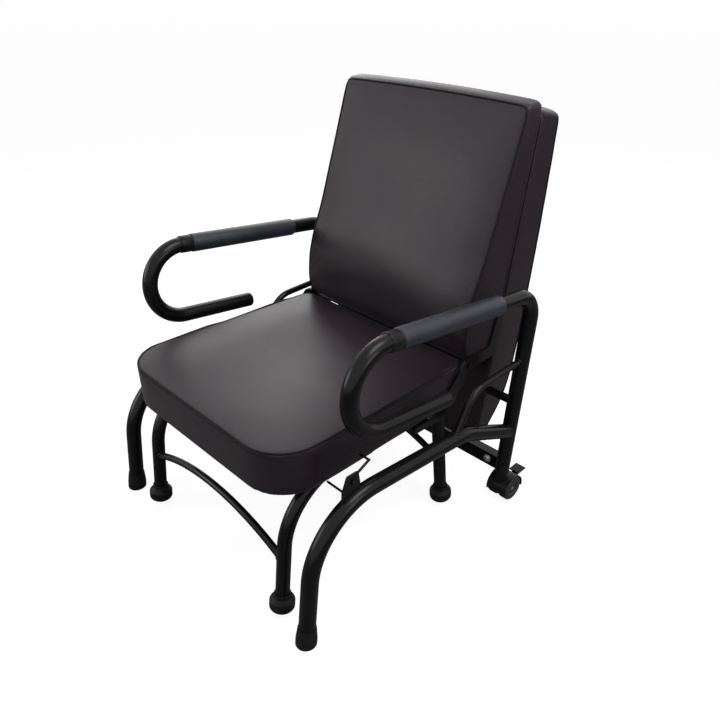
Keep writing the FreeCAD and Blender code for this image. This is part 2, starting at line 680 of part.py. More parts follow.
def arch(name, leg_at):
    """A bowed tube between two legs of the seat frame."""
    body = new_body(name)
    level = size("arch_height")
    span, bow = size("seat_rail_half_span"), size("arch_rise")
    middle = leg_at(level)
    path = sketch_on(body, "XZ_Plane", (0, 0, -middle))
    bend = (span * span + bow * bow) / (bow * 2)
    crest = level + bow
    first, last = (Vector(span.number * side, level.number, 0) for side in (-1, 1))
    curve = path.addGeometry(Part.Arc(first, Vector(0, crest.number, 0), last), False)
    for place in (1, 2):
        across = span if path.getPoint(curve, place).x > 0 else -span
        dimension(path, "DistanceX", curve, place, across, f"across{place}")
    dimension(path, "DistanceY", curve, 1, level, "up")
    index = path.addConstraint(Sketcher.Constraint("Radius", curve, bend.number))
    path.renameConstraint(index, "bow")
    path.setExpression("Constraints.bow", bend.formula)
    path.addConstraint(Sketcher.Constraint("PointOnObject", curve, 3, -2))
    tube(body, path, 1, size("brace_od"), size("brace_wall"))
    low, high = Size(0, "0"), seat_rail_z
    for label, side in SIDES:
        x = span * side
        rod(body, seat_tube_radius + weld, (x, leg_at(low), low), (x, leg_at(high), high), cut=True)


def bearer(name, y):
    """A flat tube between the seat rails, level with their tops, which carries the seat board."""
    body = new_body(name)
    reach, half, wall = size("seat_rail_half_span"), size("bearer_width") / 2, size("bearer_wall")
    low, high = seat_top_of_rail - size("bearer_height"), seat_top_of_rail - weld
    block(body, (-reach, y - half, low), (reach, y + half, high))
    block(body, (-reach, y - half + wall, low + wall), (reach, y + half - wall, high - wall), cut=True)
    for label, side in SIDES:
        x = reach * side
        rod(body, seat_tube_radius + weld, (x, y - half * 2, seat_rail_z), (x, y + half * 2, seat_rail_z),
            cut=True)


def seat_outline(sketch, inset):
    """The seat's plan: wide round front corners, and sides that draw in towards the back."""
    wide, narrow = seat_front_half - inset, seat_rear_half - inset
    front, rear = size("seat_front") + inset, size("seat_rear") - inset
    front_round, rear_round = size("seat_front_round") - inset * 0.6, size("seat_rear_round") - inset * 0.15
    outline = ((wide, front), (narrow, rear), (-narrow, rear), (-wide, front))
    draw(sketch, outline, (front_round, rear_round, rear_round, front_round), closed=True)


def seat_board():
    body = new_body("seat_board")
    sketch = sketch_on(body, "XY_Plane", (0, 0, seat_top_of_rail + weld))
    seat_outline(sketch, size("seat_board_inset"))
    pad(body, sketch, size("board"))


def seat_cushion():
    """A crowned cushion with two welts, a band that hangs past the rails and a rebate for its board."""
    body = new_body("seat_cushion")
    seam, crown, edge = size("seat_seam"), size("seat_crown"), size("seat_edge")
    low = seat_skirt_z
    band = (low + seam) / 2
    nothing = Size(0, "0")
    levels = ((low, edge), (low + edge, nothing), (band, edge * 0.8), (seam - edge, nothing),
              (seam, edge * 0.4), (seam + crown * 0.35, edge * 4), (seam + crown * 0.8, edge * 14),
              (seam + crown, edge * 28))
    sections = []
    for level, inset in levels:
        sketch = sketch_on(body, "XY_Plane", (0, 0, level))
        seat_outline(sketch, inset)
        sections.append(sketch)
    doc.recompute()
    loft(body, sections)
    doc.recompute()
    rebate = body.newObject("PartDesign::Pocket", "Rebate")
    sketch = sketch_on(body, "XY_Plane", (0, 0, low - gap))
    seat_outline(sketch, size("seat_board_inset") - gap)
    rebate.Profile = sketch
    rebate.Reversed = True
    rebate.setExpression("Length", formula_of(size("seat_skirt") + size("board") + weld + gap * 2))


# Back: the fold hinge is at the top of the fold plane, the seat hinge at its foot
back_lean = size("back_lean")
fold_y = size("hinge_y") + size("fold_reach") * sine(back_lean) + size("hinge_offset") * cosine(back_lean)
fold_z = size("hinge_z") + size("fold_reach") * cosine(back_lean) - size("hinge_offset") * sine(back_lean)
pivot_z = size("hinge_z") - size("hinge_offset")
pivot_down = (fold_z - pivot_z) / cosine(back_lean)
pivot_y = fold_y - pivot_down * sine(back_lean)


def back_side_sketch(body, x):
    """A sketch seen from the side: up runs along the fold plane, across points to the rear."""
    return sketch_on(body, "YZ_Plane", (fold_y, fold_z, x), turn=-back_lean)


def back_level_sketch(body, down):
    """A sketch square to the fold plane, so far down from the fold hinge."""
    place = (0, fold_y - down * sine(back_lean), fold_z - down * cosine(back_lean))
    return sketch_on(body, "XY_Plane", place, tilt=-back_lean)


def back_board(name, near, down):
    body = new_body(name)
    sketch = back_side_sketch(body, 0)
    far = near + size("board")
    if name.startswith("front"):
        near, far = -far, -near
    top = -size("end_gap")
    draw(sketch, ((near, top), (far, top), (far, -down), (near, -down)), (0, 0, 0, 0), closed=True)
    pad(body, sketch, back_half * 2, both=True)


def back_cushion(name, face, levels):
    """A cushion on a back board: each level is (down, inset of the side, depth from the fold plane)."""
    body = new_body(name)
    root = size("fold_gap") + size("board") + weld
    sections = []
    for down, inset, depth, crown in levels:
        sketch = back_level_sketch(body, down)
        half = back_half - inset
        corner = size("back_round")
        outline = [(half, root * face), (half, depth * face), (0, (depth + crown) * face),
                   (-half, depth * face), (-half, root * face)]
        bends = [0, corner, half * 10, corner, 0]
        if face > 0:
            outline, bends = outline[::-1], bends[::-1]
        draw(sketch, outline, bends, closed=True)
        sections.append(sketch)
    doc.recompute()
    loft(body, sections)


def front_back_cushion():
    """Thin at the top, swollen at the small of the back, drawn in at the waist and turned under below."""
    edge, crown, none = size("seat_edge"), size("back_crown"), Size(0, "0")
    waist, end = size("back_waist"), size("front_back_end")
    top, mid, swell = size("front_top_depth"), size("front_mid_depth"), size("lumbar_depth")
    middle, lumbar = size("front_mid"), size("lumbar")
    back_cushion("front_back_cushion", -1, (
        (size("end_gap"), edge, top - edge * 2, crown * 0.3),
        (size("end_gap") + edge * 2, none, top + edge * 0.4, crown * 0.7),
        (middle / 2, waist, (top + mid) / 2, crown),
        (middle, waist, mid, crown),
        (lumbar - edge * 6, waist * 0.7, swell - edge * 0.5, crown),
        (lumbar, waist * 0.5, swell, crown),
        (lumbar + edge * 10, none, swell - edge, crown),
        (end - edge * 3, none, size("front_end_depth") + edge * 2.4, crown * 0.7),
        (end, edge, size("front_end_depth") - edge, crown * 0.3)))


def rear_back_cushion():
    """A wedge that deepens downward, then turns under in a long slope to its lower lip."""
    edge, crown, none = size("seat_edge"), size("back_crown"), Size(0, "0")
    waist, end, turn = size("back_waist"), size("rear_back_end"), size("rear_turn")
    top, swell, lip = size("rear_top_depth"), size("rear_swell_depth"), size("rear_lip")
    under, slope = end - turn, swell - lip
    back_cushion("rear_back_cushion", 1, (
        (size("end_gap"), edge, top - edge * 2, crown * 0.3),
        (size("end_gap") + edge * 2.4, none, top, crown * 0.5),
        (size("rear_mid"), waist, size("rear_mid_depth"), crown),
        (size("rear_swell"), waist * 0.6, swell, crown),
        (turn, none, swell - edge, crown),
        (turn + under * 0.36, none, lip + slope * 0.69, crown),
        (turn + under * 0.56, none, lip + slope * 0.47, crown * 0.8),
        (turn + under * 0.75, none, lip + slope * 0.2, crown * 0.6),
        (end - edge, none, lip, crown * 0.4),
        (end, edge, lip - edge * 0.4, crown * 0.3)))


ear_in = back_half + weld
ear_out = ear_in + size("ear_plate")
plate_in = ear_out + size("plate_gap")
plate_out = plate_in + size("hinge_plate")


def back_ear(label, side):
    """A plate on the edge of the front back board that reaches forward to the seat hinge."""
    body = new_body(f"{label}_back_ear")
    sketch = back_side_sketch(body, (ear_in + size("ear_plate") / 2) * side)
    boss, foot = size("ear_boss"), -size("fold_reach")
    rear, front = -size("fold_gap"), -size("fold_gap") - size("board")
    eye, head = -size("hinge_offset"), foot + size("ear_height")
    rim, corner = full_round(boss), size("ear_round")
    outline = ((eye - boss, foot - boss), (eye + boss, foot - boss), (rear, foot + boss / 2), (rear, head),
               (front, head), (front - boss, foot + boss * 2), (eye - boss, foot + boss))
    draw(sketch, outline, (rim, boss / 2, corner, 0, corner, boss, rim), closed=True)
    pad(body, sketch, size("ear_plate"), both=True)
    rod(body, size("hinge_pin_od") / 2 + gap, ((ear_in - weld) * side, size("hinge_y"), size("hinge_z")),
        ((ear_out + weld) * side, size("hinge_y"), size("hinge_z")), cut=True)


def seat_hinge_plate(label, side):
    """A plate outside the cushions, on a standoff from the seat rail, that carries the seat hinge."""
    body = new_body(f"{label}_seat_hinge_plate")
    sketch = sketch_on(body, "YZ_Plane", (0, 0, (plate_in + size("hinge_plate") / 2) * side))
    front, rear = size("standoff_front"), size("standoff_rear")
    eye_y, eye_z, boss = size("hinge_y"), size("hinge_z"), size("plate_boss")
    high, corner = seat_skirt_z - gap, size("plate_round")
    low = high - size("standoff_height")
    outline = ((front, low), (rear + boss * 2, low), (eye_y + boss, eye_z - boss),
               (eye_y + boss, eye_z + boss), (eye_y - boss, eye_z + boss), (rear + boss, high), (front, high))
    draw(sketch, outline, (corner, boss * 2, corner, full_round(boss), corner, boss, corner), closed=True)
    pad(body, sketch, size("hinge_plate"), both=True)
    x = size("seat_rail_half_span")
    low_x, high_x = (x, plate_in) if side > 0 else (-plate_in, -x)
    step = size("standoff_step")
    block(body, (low_x, front, low + step), (high_x, rear, high - step))
    rod(body, seat_tube_radius + weld, (x * side, front - boss, seat_rail_z),
        (x * side, rear + boss, seat_rail_z), cut=True)
    rod(body, size("hinge_pin_od") / 2 + weld / 2, ((plate_in - weld) * side, eye_y, eye_z),
        ((plate_out + weld) * side, eye_y, eye_z), cut=True)


def seat_hinge_pins():
    body = new_body("seat_hinge_pins")
    y, z = size("hinge_y"), size("hinge_z")
    for label, side in SIDES:
        head = plate_out + weld
        rod(body, size("hinge_pin_od") / 2, ((ear_in + gap) * side, y, z), (head * side, y, z))
        rod(body, size("hinge_pin_head_od") / 2, (head * side, y, z),
            ((head + size("hinge_pin_head")) * side, y, z))


def fold_leaf(body, face, first, last):
    """A leaf on the end of a board with its knuckle round the fold hinge, from x first to x last."""
    sketch = back_side_sketch(body, (first + last) / 2)
    down, radius = size("end_gap") - weld, size("knuckle_od") / 2
    far = (size("fold_gap") + size("board")) * face
    top = size("leaf") - down
    draw(sketch, ((0, -down), (far, -down), (far, top), (0, top)), (0, 0, 0, 0), closed=True)
    pad(body, sketch, last - first, both=True)
    rod(body, radius, (first, fold_y, fold_z), (last, fold_y, fold_z))
    rod(body, size("knuckle_pin_od") / 2 + gap / 2, (first - radius, fold_y, fold_z),
        (last + radius, fold_y, fold_z), cut=True)


def fold_hinges():
    """Two hinges across the top: outer knuckles on the front board, the middle one on the rear board."""
    front, rear = new_body("fold_hinge_front_leaves"), new_body("fold_hinge_rear_leaves")
    pins = new_body("fold_hinge_pins")
    length = size("knuckle_length")
    for label, side in SIDES:
        middle = size("knuckle_span") * side
        fold_leaf(front, -1, middle - length * 1.5, middle - length / 2 - gap)
        fold_leaf(front, -1, middle + length / 2 + gap, middle + length * 1.5)
        fold_leaf(rear, 1, middle - length / 2, middle + length / 2)
        rod(pins, size("knuckle_pin_od") / 2, (middle - length * 1.5, fold_y, fold_z),
            (middle + length * 1.5, fold_y, fold_z))


def pivot_bracket(label, side):
    """A round bar welded across the front of the upright, bored for the pin that the rear back panel turns on."""
    body = new_body(f"{label}_pivot_bracket")
    hoop_x = size("hoop_half_span")
    inner = back_half + size("pivot_gap") + size("pivot_stub")
    depth = inner + size("pivot_grip") + weld
    rod(body, size("bracket_od") / 2, (inner * side, pivot_y, pivot_z), (hoop_x * side, pivot_y, pivot_z))
    rod(body, tube_radius + weld, *upright_axis(hoop_x * side), cut=True)
    rod(body, size("pivot_pin_od") / 2 + weld / 2, ((inner - weld) * side, pivot_y, pivot_z),
        (depth * side, pivot_y, pivot_z), cut=True)


def pivot_pins():
    body = new_body("rear_back_pivot_pins")
    for label, side in SIDES:
        tip = back_half + size("pivot_gap")
        end = tip + size("pivot_stub") + size("pivot_grip")
        rod(body, size("pivot_pin_od") / 2, (tip * side, pivot_y, pivot_z), (end * side, pivot_y, pivot_z))


for label, side in SIDES:
    side_hoop(label, side)
    arm_sleeve(label, side)
    hook_plug(label, side)
    side_rail(label, side)
    front_foot(label, side)
    curved_brace(label, side)
    catch_lug(label, side)
    wire_catch(label, side)
    pivot_bracket(label, side)
    caster_socket(label, side)
    caster_stem(label, side)
    caster_hood(label, side)
    caster_axle(label, side)
    for name, face in (("outer", side), ("inner", -side)):
        caster_wheel(label, side, name, face)
    brake_pedal(label, side)
    seat_rail(label, side)
    ball_foot(label, side, "front", size("seat_front_foot"), -splay)
    ball_foot(label, side, "rear", size("seat_rear_foot"), splay)
    seat_hinge_plate(label, side)
    back_ear(label, side)
rear_crossbar()
crossbar_bolts()
catch_bolts()
pivot_pins()
arch("front_arch", front_leg_at)
arch("rear_arch", rear_leg_at)
bearer("front_bearer", size("front_bearer"))
bearer("rear_bearer", size("rear_bearer"))
seat_board()
seat_cushion()
seat_hinge_pins()
back_board("front_back_board", size("fold_gap"), size("front_back_end"))
back_board("rear_back_board", size("fold_gap"), size("rear_back_end") - size("rear_board_inset"))
front_back_cushion()
rear_back_cushion()
fold_hinges()
doc.recompute()

for thing in doc.Objects:
    if "Invalid" in thing.State or "Error" in thing.State:
        raise RuntimeError(f"{thing.Label} failed: {thing.State}")
for body in bodies:
    if body.Shape.isNull() or not body.Shape.isValid() or not body.Shape.Solids:
        raise RuntimeError(f"{body.Label} has no sound shape")

os.makedirs("parts", exist_ok=True)
box = FreeCAD.BoundBox()
for body in bodies:
    box.add(body.Shape.BoundBox)
    body.Shape.exportStep(f"parts/{body.Label}.step")
print(len(bodies), "pieces", box)
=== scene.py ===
# %% [markdown]
# # A pull-out attendant chair
# This lesson dresses a hospital visitor chair. The steel frame, casters, hinges and catches come from
# the imported model at their real size. What the model can't show is made here: stuffed cushions with
# their piping, foam sleeves on the armrests, weld beads, bolts, and the finish of every surface.
# First the imported model is loaded as a fixed frame.

# %% Load the frame
import bmesh
import bpy
import json
import math
from mathutils import Matrix, Vector
from mathutils.bvhtree import BVHTree
from mathutils.kdtree import KDTree


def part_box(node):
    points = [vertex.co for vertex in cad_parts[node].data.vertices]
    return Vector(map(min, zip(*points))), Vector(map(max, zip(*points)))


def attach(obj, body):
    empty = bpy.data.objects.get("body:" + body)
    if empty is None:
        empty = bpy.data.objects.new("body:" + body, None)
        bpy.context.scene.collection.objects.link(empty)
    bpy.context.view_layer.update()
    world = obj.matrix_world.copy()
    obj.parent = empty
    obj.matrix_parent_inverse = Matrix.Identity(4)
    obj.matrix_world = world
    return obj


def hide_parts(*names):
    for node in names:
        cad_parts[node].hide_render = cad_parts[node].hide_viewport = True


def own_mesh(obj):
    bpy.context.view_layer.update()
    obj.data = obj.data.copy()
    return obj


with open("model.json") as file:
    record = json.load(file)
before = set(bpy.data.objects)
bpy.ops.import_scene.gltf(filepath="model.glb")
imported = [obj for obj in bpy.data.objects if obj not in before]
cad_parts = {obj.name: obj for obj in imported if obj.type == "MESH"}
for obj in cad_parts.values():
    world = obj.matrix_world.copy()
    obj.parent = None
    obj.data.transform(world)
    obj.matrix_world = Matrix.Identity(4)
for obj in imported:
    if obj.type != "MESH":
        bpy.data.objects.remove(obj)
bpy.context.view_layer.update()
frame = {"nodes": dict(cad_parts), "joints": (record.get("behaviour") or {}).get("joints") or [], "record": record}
NODES = frame["nodes"]
JOINTS = {joint["name"]: joint for joint in frame["joints"]}
SIDES = (("left", 1), ("right", -1))
scene = bpy.context.scene
print("nodes:", len(NODES))

# %% [markdown]
# ## Camera
# The chair is seen from the front, above and to the sitter's left. A camera's place, its angles and
# its lens can be solved from parallel tubes in a picture. A small shift puts the chair where it stands
# in the frame, which keeps upright lines as they are, where turning the camera would not.

# %% Camera
CAMERA_PLACE = Vector((1.0894, -0.9478, 1.1647))
CAMERA_AZIMUTH, CAMERA_ELEVATION, CAMERA_ROLL = 45.09, 30.92, 0.42
LENS, SENSOR, SHIFT = 34.93, 36, (-0.0242, 0.0261)


def make_camera():
    data = bpy.data.cameras.new("camera")
    data.lens, data.sensor_width = LENS, SENSOR
    data.shift_x, data.shift_y = SHIFT
    camera = bpy.data.objects.new("camera", data)
    azimuth, elevation = math.radians(CAMERA_AZIMUTH), math.radians(CAMERA_ELEVATION)
    level = math.cos(elevation)
    ahead = Vector((-math.sin(azimuth) * level, math.cos(azimuth) * level, -math.sin(elevation)))
    roll = Matrix.Rotation(math.radians(CAMERA_ROLL), 3, "Z")
    turn = ahead.to_track_quat("-Z", "Y").to_matrix() @ roll
    camera.matrix_world = Matrix.Translation(CAMERA_PLACE) @ turn.to_4x4()
    scene.collection.objects.link(camera)
    return camera


scene.camera = make_camera()
print("camera at", tuple(round(value, 3) for value in CAMERA_PLACE))

# %% [markdown]
# ## Light and floor
# The chair stands in an even white studio. Dark leather mostly shows what it reflects, so a large lamp
# stands where the seat mirrors it towards the camera, behind the chair and to the sitter's right, and a
# lower one does the same for the small of the back. Two more lamps add shape. The floor is pale, and
# the camera sees it lifted to white, so that only the shadow remains. Glossy surfaces mirror the white
# surround, but they see the floor as it is painted, because a white one turns dark leather pale.

# %% Light and floor
FLOOR_SIZE, FLOOR_SHADE, FLOOR_ROUGHNESS, FLOOR_SPECULAR = 60, 0.40, 0.9, 0.1
FLOOR_LIFT = 0.90
SURROUND = 0.13
WHITE = (1, 1, 1, 1)
LAMPS = (
    ("window_lamp", (-2.0, 1.5, 1.7), (0, 0, 0.45), 1.9, 15),
    ("front_lamp", (-2.0, -2.4, 1.3), (0, 0.1, 0.6), 1.7, 20),
    ("top_lamp", (1.3, 0.2, 2.7), (0.1, 0, 0.5), 1.6, 27),
    ("side_lamp", (2.9, 0.2, 1.4), (0, 0, 0.4), 1.0, 7),
)


def white_for_camera(tree, plain, shown, rays):
    """Mixes two shaders, so that the camera and the named rays see the second one."""
    path = tree.nodes.new("ShaderNodeLightPath")
    seen = path.outputs["Is Camera Ray"]
    for ray in rays:
        either = tree.nodes.new("ShaderNodeMath")
        either.operation = "MAXIMUM"
        tree.links.new(seen, either.inputs[0])
        tree.links.new(path.outputs[ray], either.inputs[1])
        seen = either.outputs[0]
    mix = tree.nodes.new("ShaderNodeMixShader")
    tree.links.new(seen, mix.inputs["Fac"])
    tree.links.new(plain.outputs[0], mix.inputs[1])
    tree.links.new(shown.outputs[0], mix.inputs[2])
    return mix


def make_surround():
    world = bpy.data.worlds.new("surround")
    world.use_nodes = True
    tree = world.node_tree
    plain = tree.nodes["Background"]
    shown = tree.nodes.new("ShaderNodeBackground")
    for background, strength in ((plain, SURROUND), (shown, 1)):
        background.inputs["Color"].default_value = WHITE
        background.inputs["Strength"].default_value = strength
    mix = white_for_camera(tree, plain, shown, ("Is Glossy Ray", "Is Transmission Ray"))
    tree.links.new(mix.outputs[0], tree.nodes["World Output"].inputs["Surface"])
    scene.world = world


def make_floor_paint():
    material = bpy.data.materials.new("floor_paint")
    material.use_nodes = True
    tree = material.node_tree
    paint = tree.nodes["Principled BSDF"]
    paint.inputs["Base Color"].default_value = (FLOOR_SHADE, FLOOR_SHADE, FLOOR_SHADE, 1)
    paint.inputs["Roughness"].default_value = FLOOR_ROUGHNESS
    paint.inputs["Specular IOR Level"].default_value = FLOOR_SPECULAR
    lift = tree.nodes.new("ShaderNodeEmission")
    lift.inputs["Strength"].default_value = FLOOR_LIFT
    both = tree.nodes.new("ShaderNodeAddShader")
    tree.links.new(paint.outputs[0], both.inputs[0])
    tree.links.new(lift.outputs[0], both.inputs[1])
    mix = white_for_camera(tree, paint, both, ("Is Transmission Ray",))
    tree.links.new(mix.outputs[0], tree.nodes["Material Output"].inputs["Surface"])
    return material


def make_floor():
    bm = bmesh.new()
    bmesh.ops.create_grid(bm, x_segments=1, y_segments=1, size=FLOOR_SIZE / 2)
    mesh = bpy.data.meshes.new("floor")
    bm.to_mesh(mesh)
    bm.free()
    mesh.materials.append(make_floor_paint())
    floor = bpy.data.objects.new("floor", mesh)
    scene.collection.objects.link(floor)


def make_lamp(name, place, target, size, power):
    data = bpy.data.lights.new(name, "AREA")
    data.shape, data.size, data.energy = "DISK", size, power
    lamp = bpy.data.objects.new(name, data)
    lamp.location = place
    lamp.rotation_euler = (Vector(target) - Vector(place)).to_track_quat("-Z", "Y").to_euler()
    scene.collection.objects.link(lamp)


scene.view_settings.view_transform = "Standard"
make_surround()
make_floor()
for lamp_row in LAMPS:
    make_lamp(*lamp_row)
print("lamps:", len(LAMPS))

# %% [markdown]
# ## Shared effects
# Several finishes share two effects. The first is a fine relief: cells with soft borders, as in
# embossed leather, or a plain ripple, as in powder coat. The second is handling wear: broken streaks
# and cloudy patches. Each is built once as a node group, and every finish places it with values of its
# own. All patterns read Object coordinates, which are metres here, so that a scale is a count per
# metre.

# %% Node groups
def new_group(name, numbers, outputs):
    group = bpy.data.node_groups.new(name, "ShaderNodeTree")
    for label, value in numbers:
        socket = group.interface.new_socket(label, in_out="INPUT", socket_type="NodeSocketFloat")
        socket.default_value = value
    for label in outputs:
        group.interface.new_socket(label, in_out="OUTPUT", socket_type="NodeSocketFloat")
    given = group.nodes.new("NodeGroupInput")
    result = group.nodes.new("NodeGroupOutput")
    coordinates = group.nodes.new("ShaderNodeTexCoord")
    return group, given, result, coordinates.outputs["Object"]


def math_node(tree, operation, first, second):
    node = tree.nodes.new("ShaderNodeMath")
    node.operation = operation
    for socket, value in zip(node.inputs, (first, second)):
        if isinstance(value, (int, float)):
            socket.default_value = value
        else:
            tree.links.new(value, socket)
    return node.outputs[0]


def noise_node(tree, where, scale, detail=3.0, roughness=0.5):
    node = tree.nodes.new("ShaderNodeTexNoise")
    node.inputs["Detail"].default_value = detail
    node.inputs["Roughness"].default_value = roughness
    tree.links.new(where, node.inputs["Vector"])
    if isinstance(scale, (int, float)):
        node.inputs["Scale"].default_value = scale
    else:
        tree.links.new(scale, node.inputs["Scale"])
    return node.outputs["Fac"]


def ramp_node(tree, value, low, high):
    node = tree.nodes.new("ShaderNodeMapRange")
    node.interpolation_type = "SMOOTHSTEP"
    node.inputs["From Min"].default_value = low
    node.inputs["From Max"].default_value = high
    tree.links.new(value, node.inputs["Value"])
    return node.outputs["Result"]


def make_relief_group():
    """Relief: pebbled cells mixed with a ripple. Height is 0 in borders and about 1 on pebbles."""
    numbers = (("Cells", 600), ("Ripple", 300), ("Cell Share", 0.6))
    group, given, result, where = new_group("relief", numbers, ("Height",))
    cells = group.nodes.new("ShaderNodeTexVoronoi")
    cells.feature = "DISTANCE_TO_EDGE"
    group.links.new(where, cells.inputs["Vector"])
    group.links.new(given.outputs["Cells"], cells.inputs["Scale"])
    pebble = ramp_node(group, cells.outputs["Distance"], low=0.0, high=0.22)
    ripple = noise_node(group, where, given.outputs["Ripple"])
    pebble_part = math_node(group, "MULTIPLY", pebble, given.outputs["Cell Share"])
    ripple_share = math_node(group, "SUBTRACT", 1, given.outputs["Cell Share"])
    ripple_part = math_node(group, "MULTIPLY", ripple, ripple_share)
    height = math_node(group, "ADD", pebble_part, ripple_part)
    group.links.new(height, result.inputs["Height"])
    return group


def make_wear_group():
    """Wear: Streaks are thin broken lines, Patches are soft clouds, both from 0 to 1."""
    numbers = (("Patch Scale", 9), ("Streak Scale", 60))
    group, given, result, where = new_group("wear", numbers, ("Streaks", "Patches"))
    clouds = noise_node(group, where, given.outputs["Patch Scale"], detail=4)
    patches = ramp_node(group, clouds, low=0.38, high=0.68)
    stretch = group.nodes.new("ShaderNodeMapping")
    stretch.inputs["Scale"].default_value = (1.0, 0.22, 0.45)
    stretch.inputs["Rotation"].default_value = (0.4, 0.2, 0.5)
    group.links.new(where, stretch.inputs["Vector"])
    streak_scale = given.outputs["Streak Scale"]
    lines = noise_node(group, stretch.outputs[0], streak_scale, detail=6, roughness=0.7)
    streaks = ramp_node(group, lines, low=0.60, high=0.72)
    group.links.new(streaks, result.inputs["Streaks"])
    group.links.new(patches, result.inputs["Patches"])
    return group


RELIEF, WEAR = make_relief_group(), make_wear_group()
print("node groups:", RELIEF.name, WEAR.name)

# %% [markdown]
# ## Making a finish
# A finish here is one base colour that drifts slightly between two shades, a roughness that follows
# wear, and a relief as bump. The chair's materials differ only in those values, so one function makes
# them all. Values that are the same all over a surface, such as the specular level, are set on the
# shader itself.

# %% Making a finish
def place_group(tree, group, **values):
    node = tree.nodes.new("ShaderNodeGroup")
    node.node_tree = group
    for label, value in values.items():
        node.inputs[label.replace("_", " ")].default_value = value
    return node


def mix_colours(tree, fac, first, second):
    node = tree.nodes.new("ShaderNodeMix")
    node.data_type = "RGBA"
    tree.links.new(fac, node.inputs["Factor"])
    for socket, colour in zip((node.inputs[6], node.inputs[7]), (first, second)):
        if isinstance(colour, tuple):
            socket.default_value = (*colour, 1)
        else:
            tree.links.new(colour, socket)
    return node.outputs[2]


def mix_values(tree, fac, first, second):
    node = tree.nodes.new("ShaderNodeMix")
    tree.links.new(fac, node.inputs["Factor"])
    node.inputs[2].default_value = first
    node.inputs[3].default_value = second
    return node.outputs[0]


def make_finish(name, dark, light, scuff, roughness, relief, depth, wear, specular=0.5, metallic=0.0):
    """dark and light are the colour's two shades, scuff that of streaks, depth the bump in metres."""
    material = bpy.data.materials.new(name)
    material.use_nodes = True
    tree = material.node_tree
    shader = tree.nodes["Principled BSDF"]
    worn = place_group(tree, WEAR, **wear)
    colour = mix_colours(tree, worn.outputs["Patches"], dark, light)
    colour = mix_colours(tree, worn.outputs["Streaks"], colour, scuff)
    tree.links.new(colour, shader.inputs["Base Color"])
    polish = mix_values(tree, worn.outputs["Patches"], *roughness)
    tree.links.new(polish, shader.inputs["Roughness"])
    grain = place_group(tree, RELIEF, **relief)
    bump = tree.nodes.new("ShaderNodeBump")
    bump.inputs["Strength"].default_value = 1
    bump.inputs["Distance"].default_value = depth
    tree.links.new(grain.outputs["Height"], bump.inputs["Height"])
    tree.links.new(bump.outputs[0], shader.inputs["Normal"])
    shader.inputs["Metallic"].default_value = metallic
    shader.inputs["Specular IOR Level"].default_value = specular
    return material


def add_puckers(material, scale, height):
    """Small folds beside the seams, where the cover's seam attribute says how near one is."""
    tree = material.node_tree
    bump = next(node for node in tree.nodes if node.type == "BUMP")
    grain = bump.inputs["Height"].links[0].from_socket
    near = tree.nodes.new("ShaderNodeAttribute")
    near.attribute_name = "seam"
    coordinates = tree.nodes.new("ShaderNodeTexCoord")
    folds = noise_node(tree, coordinates.outputs["Object"], scale, detail=1)
    near_folds = math_node(tree, "MULTIPLY", folds, near.outputs["Fac"])
    drawn = math_node(tree, "MULTIPLY", near_folds, height)
    tree.links.new(math_node(tree, "ADD", grain, drawn), bump.inputs["Height"])


print("a finish places", RELIEF.name, "and", WEAR.name)

# %% [markdown]
# ## The chair's finishes
# The frame is powder coated and the covers are artificial leather, which is embossed and puckers
# beside its seams. The piping is a duller leather. Foam, rubber, moulded plastic, zinc and board make
# up the rest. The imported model's own solids get these finishes by their material slot; the pins in the
# hinges were painted with the frame.

# %% The chair's finishes
POWDER_COAT = make_finish(
    "powder_coat", dark=(0.0058, 0.0054, 0.0055), light=(0.0090, 0.0084, 0.0086),
    scuff=(0.015, 0.014, 0.0142), roughness=(0.20, 0.29), depth=0.00006, specular=0.24,
    relief={"Cells": 900, "Ripple": 520, "Cell_Share": 0.1},
    wear={"Patch_Scale": 7, "Streak_Scale": 46})
LEATHER = make_finish(
    "artificial_leather", dark=(0.0278, 0.0166, 0.0242), light=(0.0345, 0.0215, 0.0305),
    scuff=(0.038, 0.025, 0.034), roughness=(0.28, 0.35), depth=0.00010, specular=0.34,
    relief={"Cells": 640, "Ripple": 150, "Cell_Share": 0.7},
    wear={"Patch_Scale": 5, "Streak_Scale": 18})
PIPING = make_finish(
    "piping_leather", dark=(0.0120, 0.0090, 0.0105), light=(0.0160, 0.0120, 0.0140),
    scuff=(0.022, 0.018, 0.020), roughness=(0.50, 0.60), depth=0.00006, specular=0.15,
    relief={"Cells": 900, "Ripple": 260, "Cell_Share": 0.6},
    wear={"Patch_Scale": 14, "Streak_Scale": 60})
FOAM = make_finish(
    "sleeve_foam", dark=(0.026, 0.033, 0.044), light=(0.034, 0.042, 0.056),
    scuff=(0.046, 0.055, 0.070), roughness=(0.34, 0.44), depth=0.00012, specular=0.42,
    relief={"Cells": 1300, "Ripple": 420, "Cell_Share": 0.5},
    wear={"Patch_Scale": 16, "Streak_Scale": 70})
RUBBER = make_finish(
    "foot_rubber", dark=(0.010, 0.010, 0.0105), light=(0.015, 0.015, 0.0155),
    scuff=(0.040, 0.039, 0.037), roughness=(0.48, 0.62), depth=0.00008, specular=0.18,
    relief={"Cells": 1200, "Ripple": 600, "Cell_Share": 0.3},
    wear={"Patch_Scale": 22, "Streak_Scale": 120})
PLASTIC = make_finish(
    "moulded_plastic", dark=(0.0105, 0.0105, 0.0110), light=(0.0145, 0.0145, 0.0150),
    scuff=(0.035, 0.035, 0.036), roughness=(0.32, 0.44), depth=0.00005, specular=0.18,
    relief={"Cells": 1500, "Ripple": 900, "Cell_Share": 0.4},
    wear={"Patch_Scale": 20, "Streak_Scale": 110})
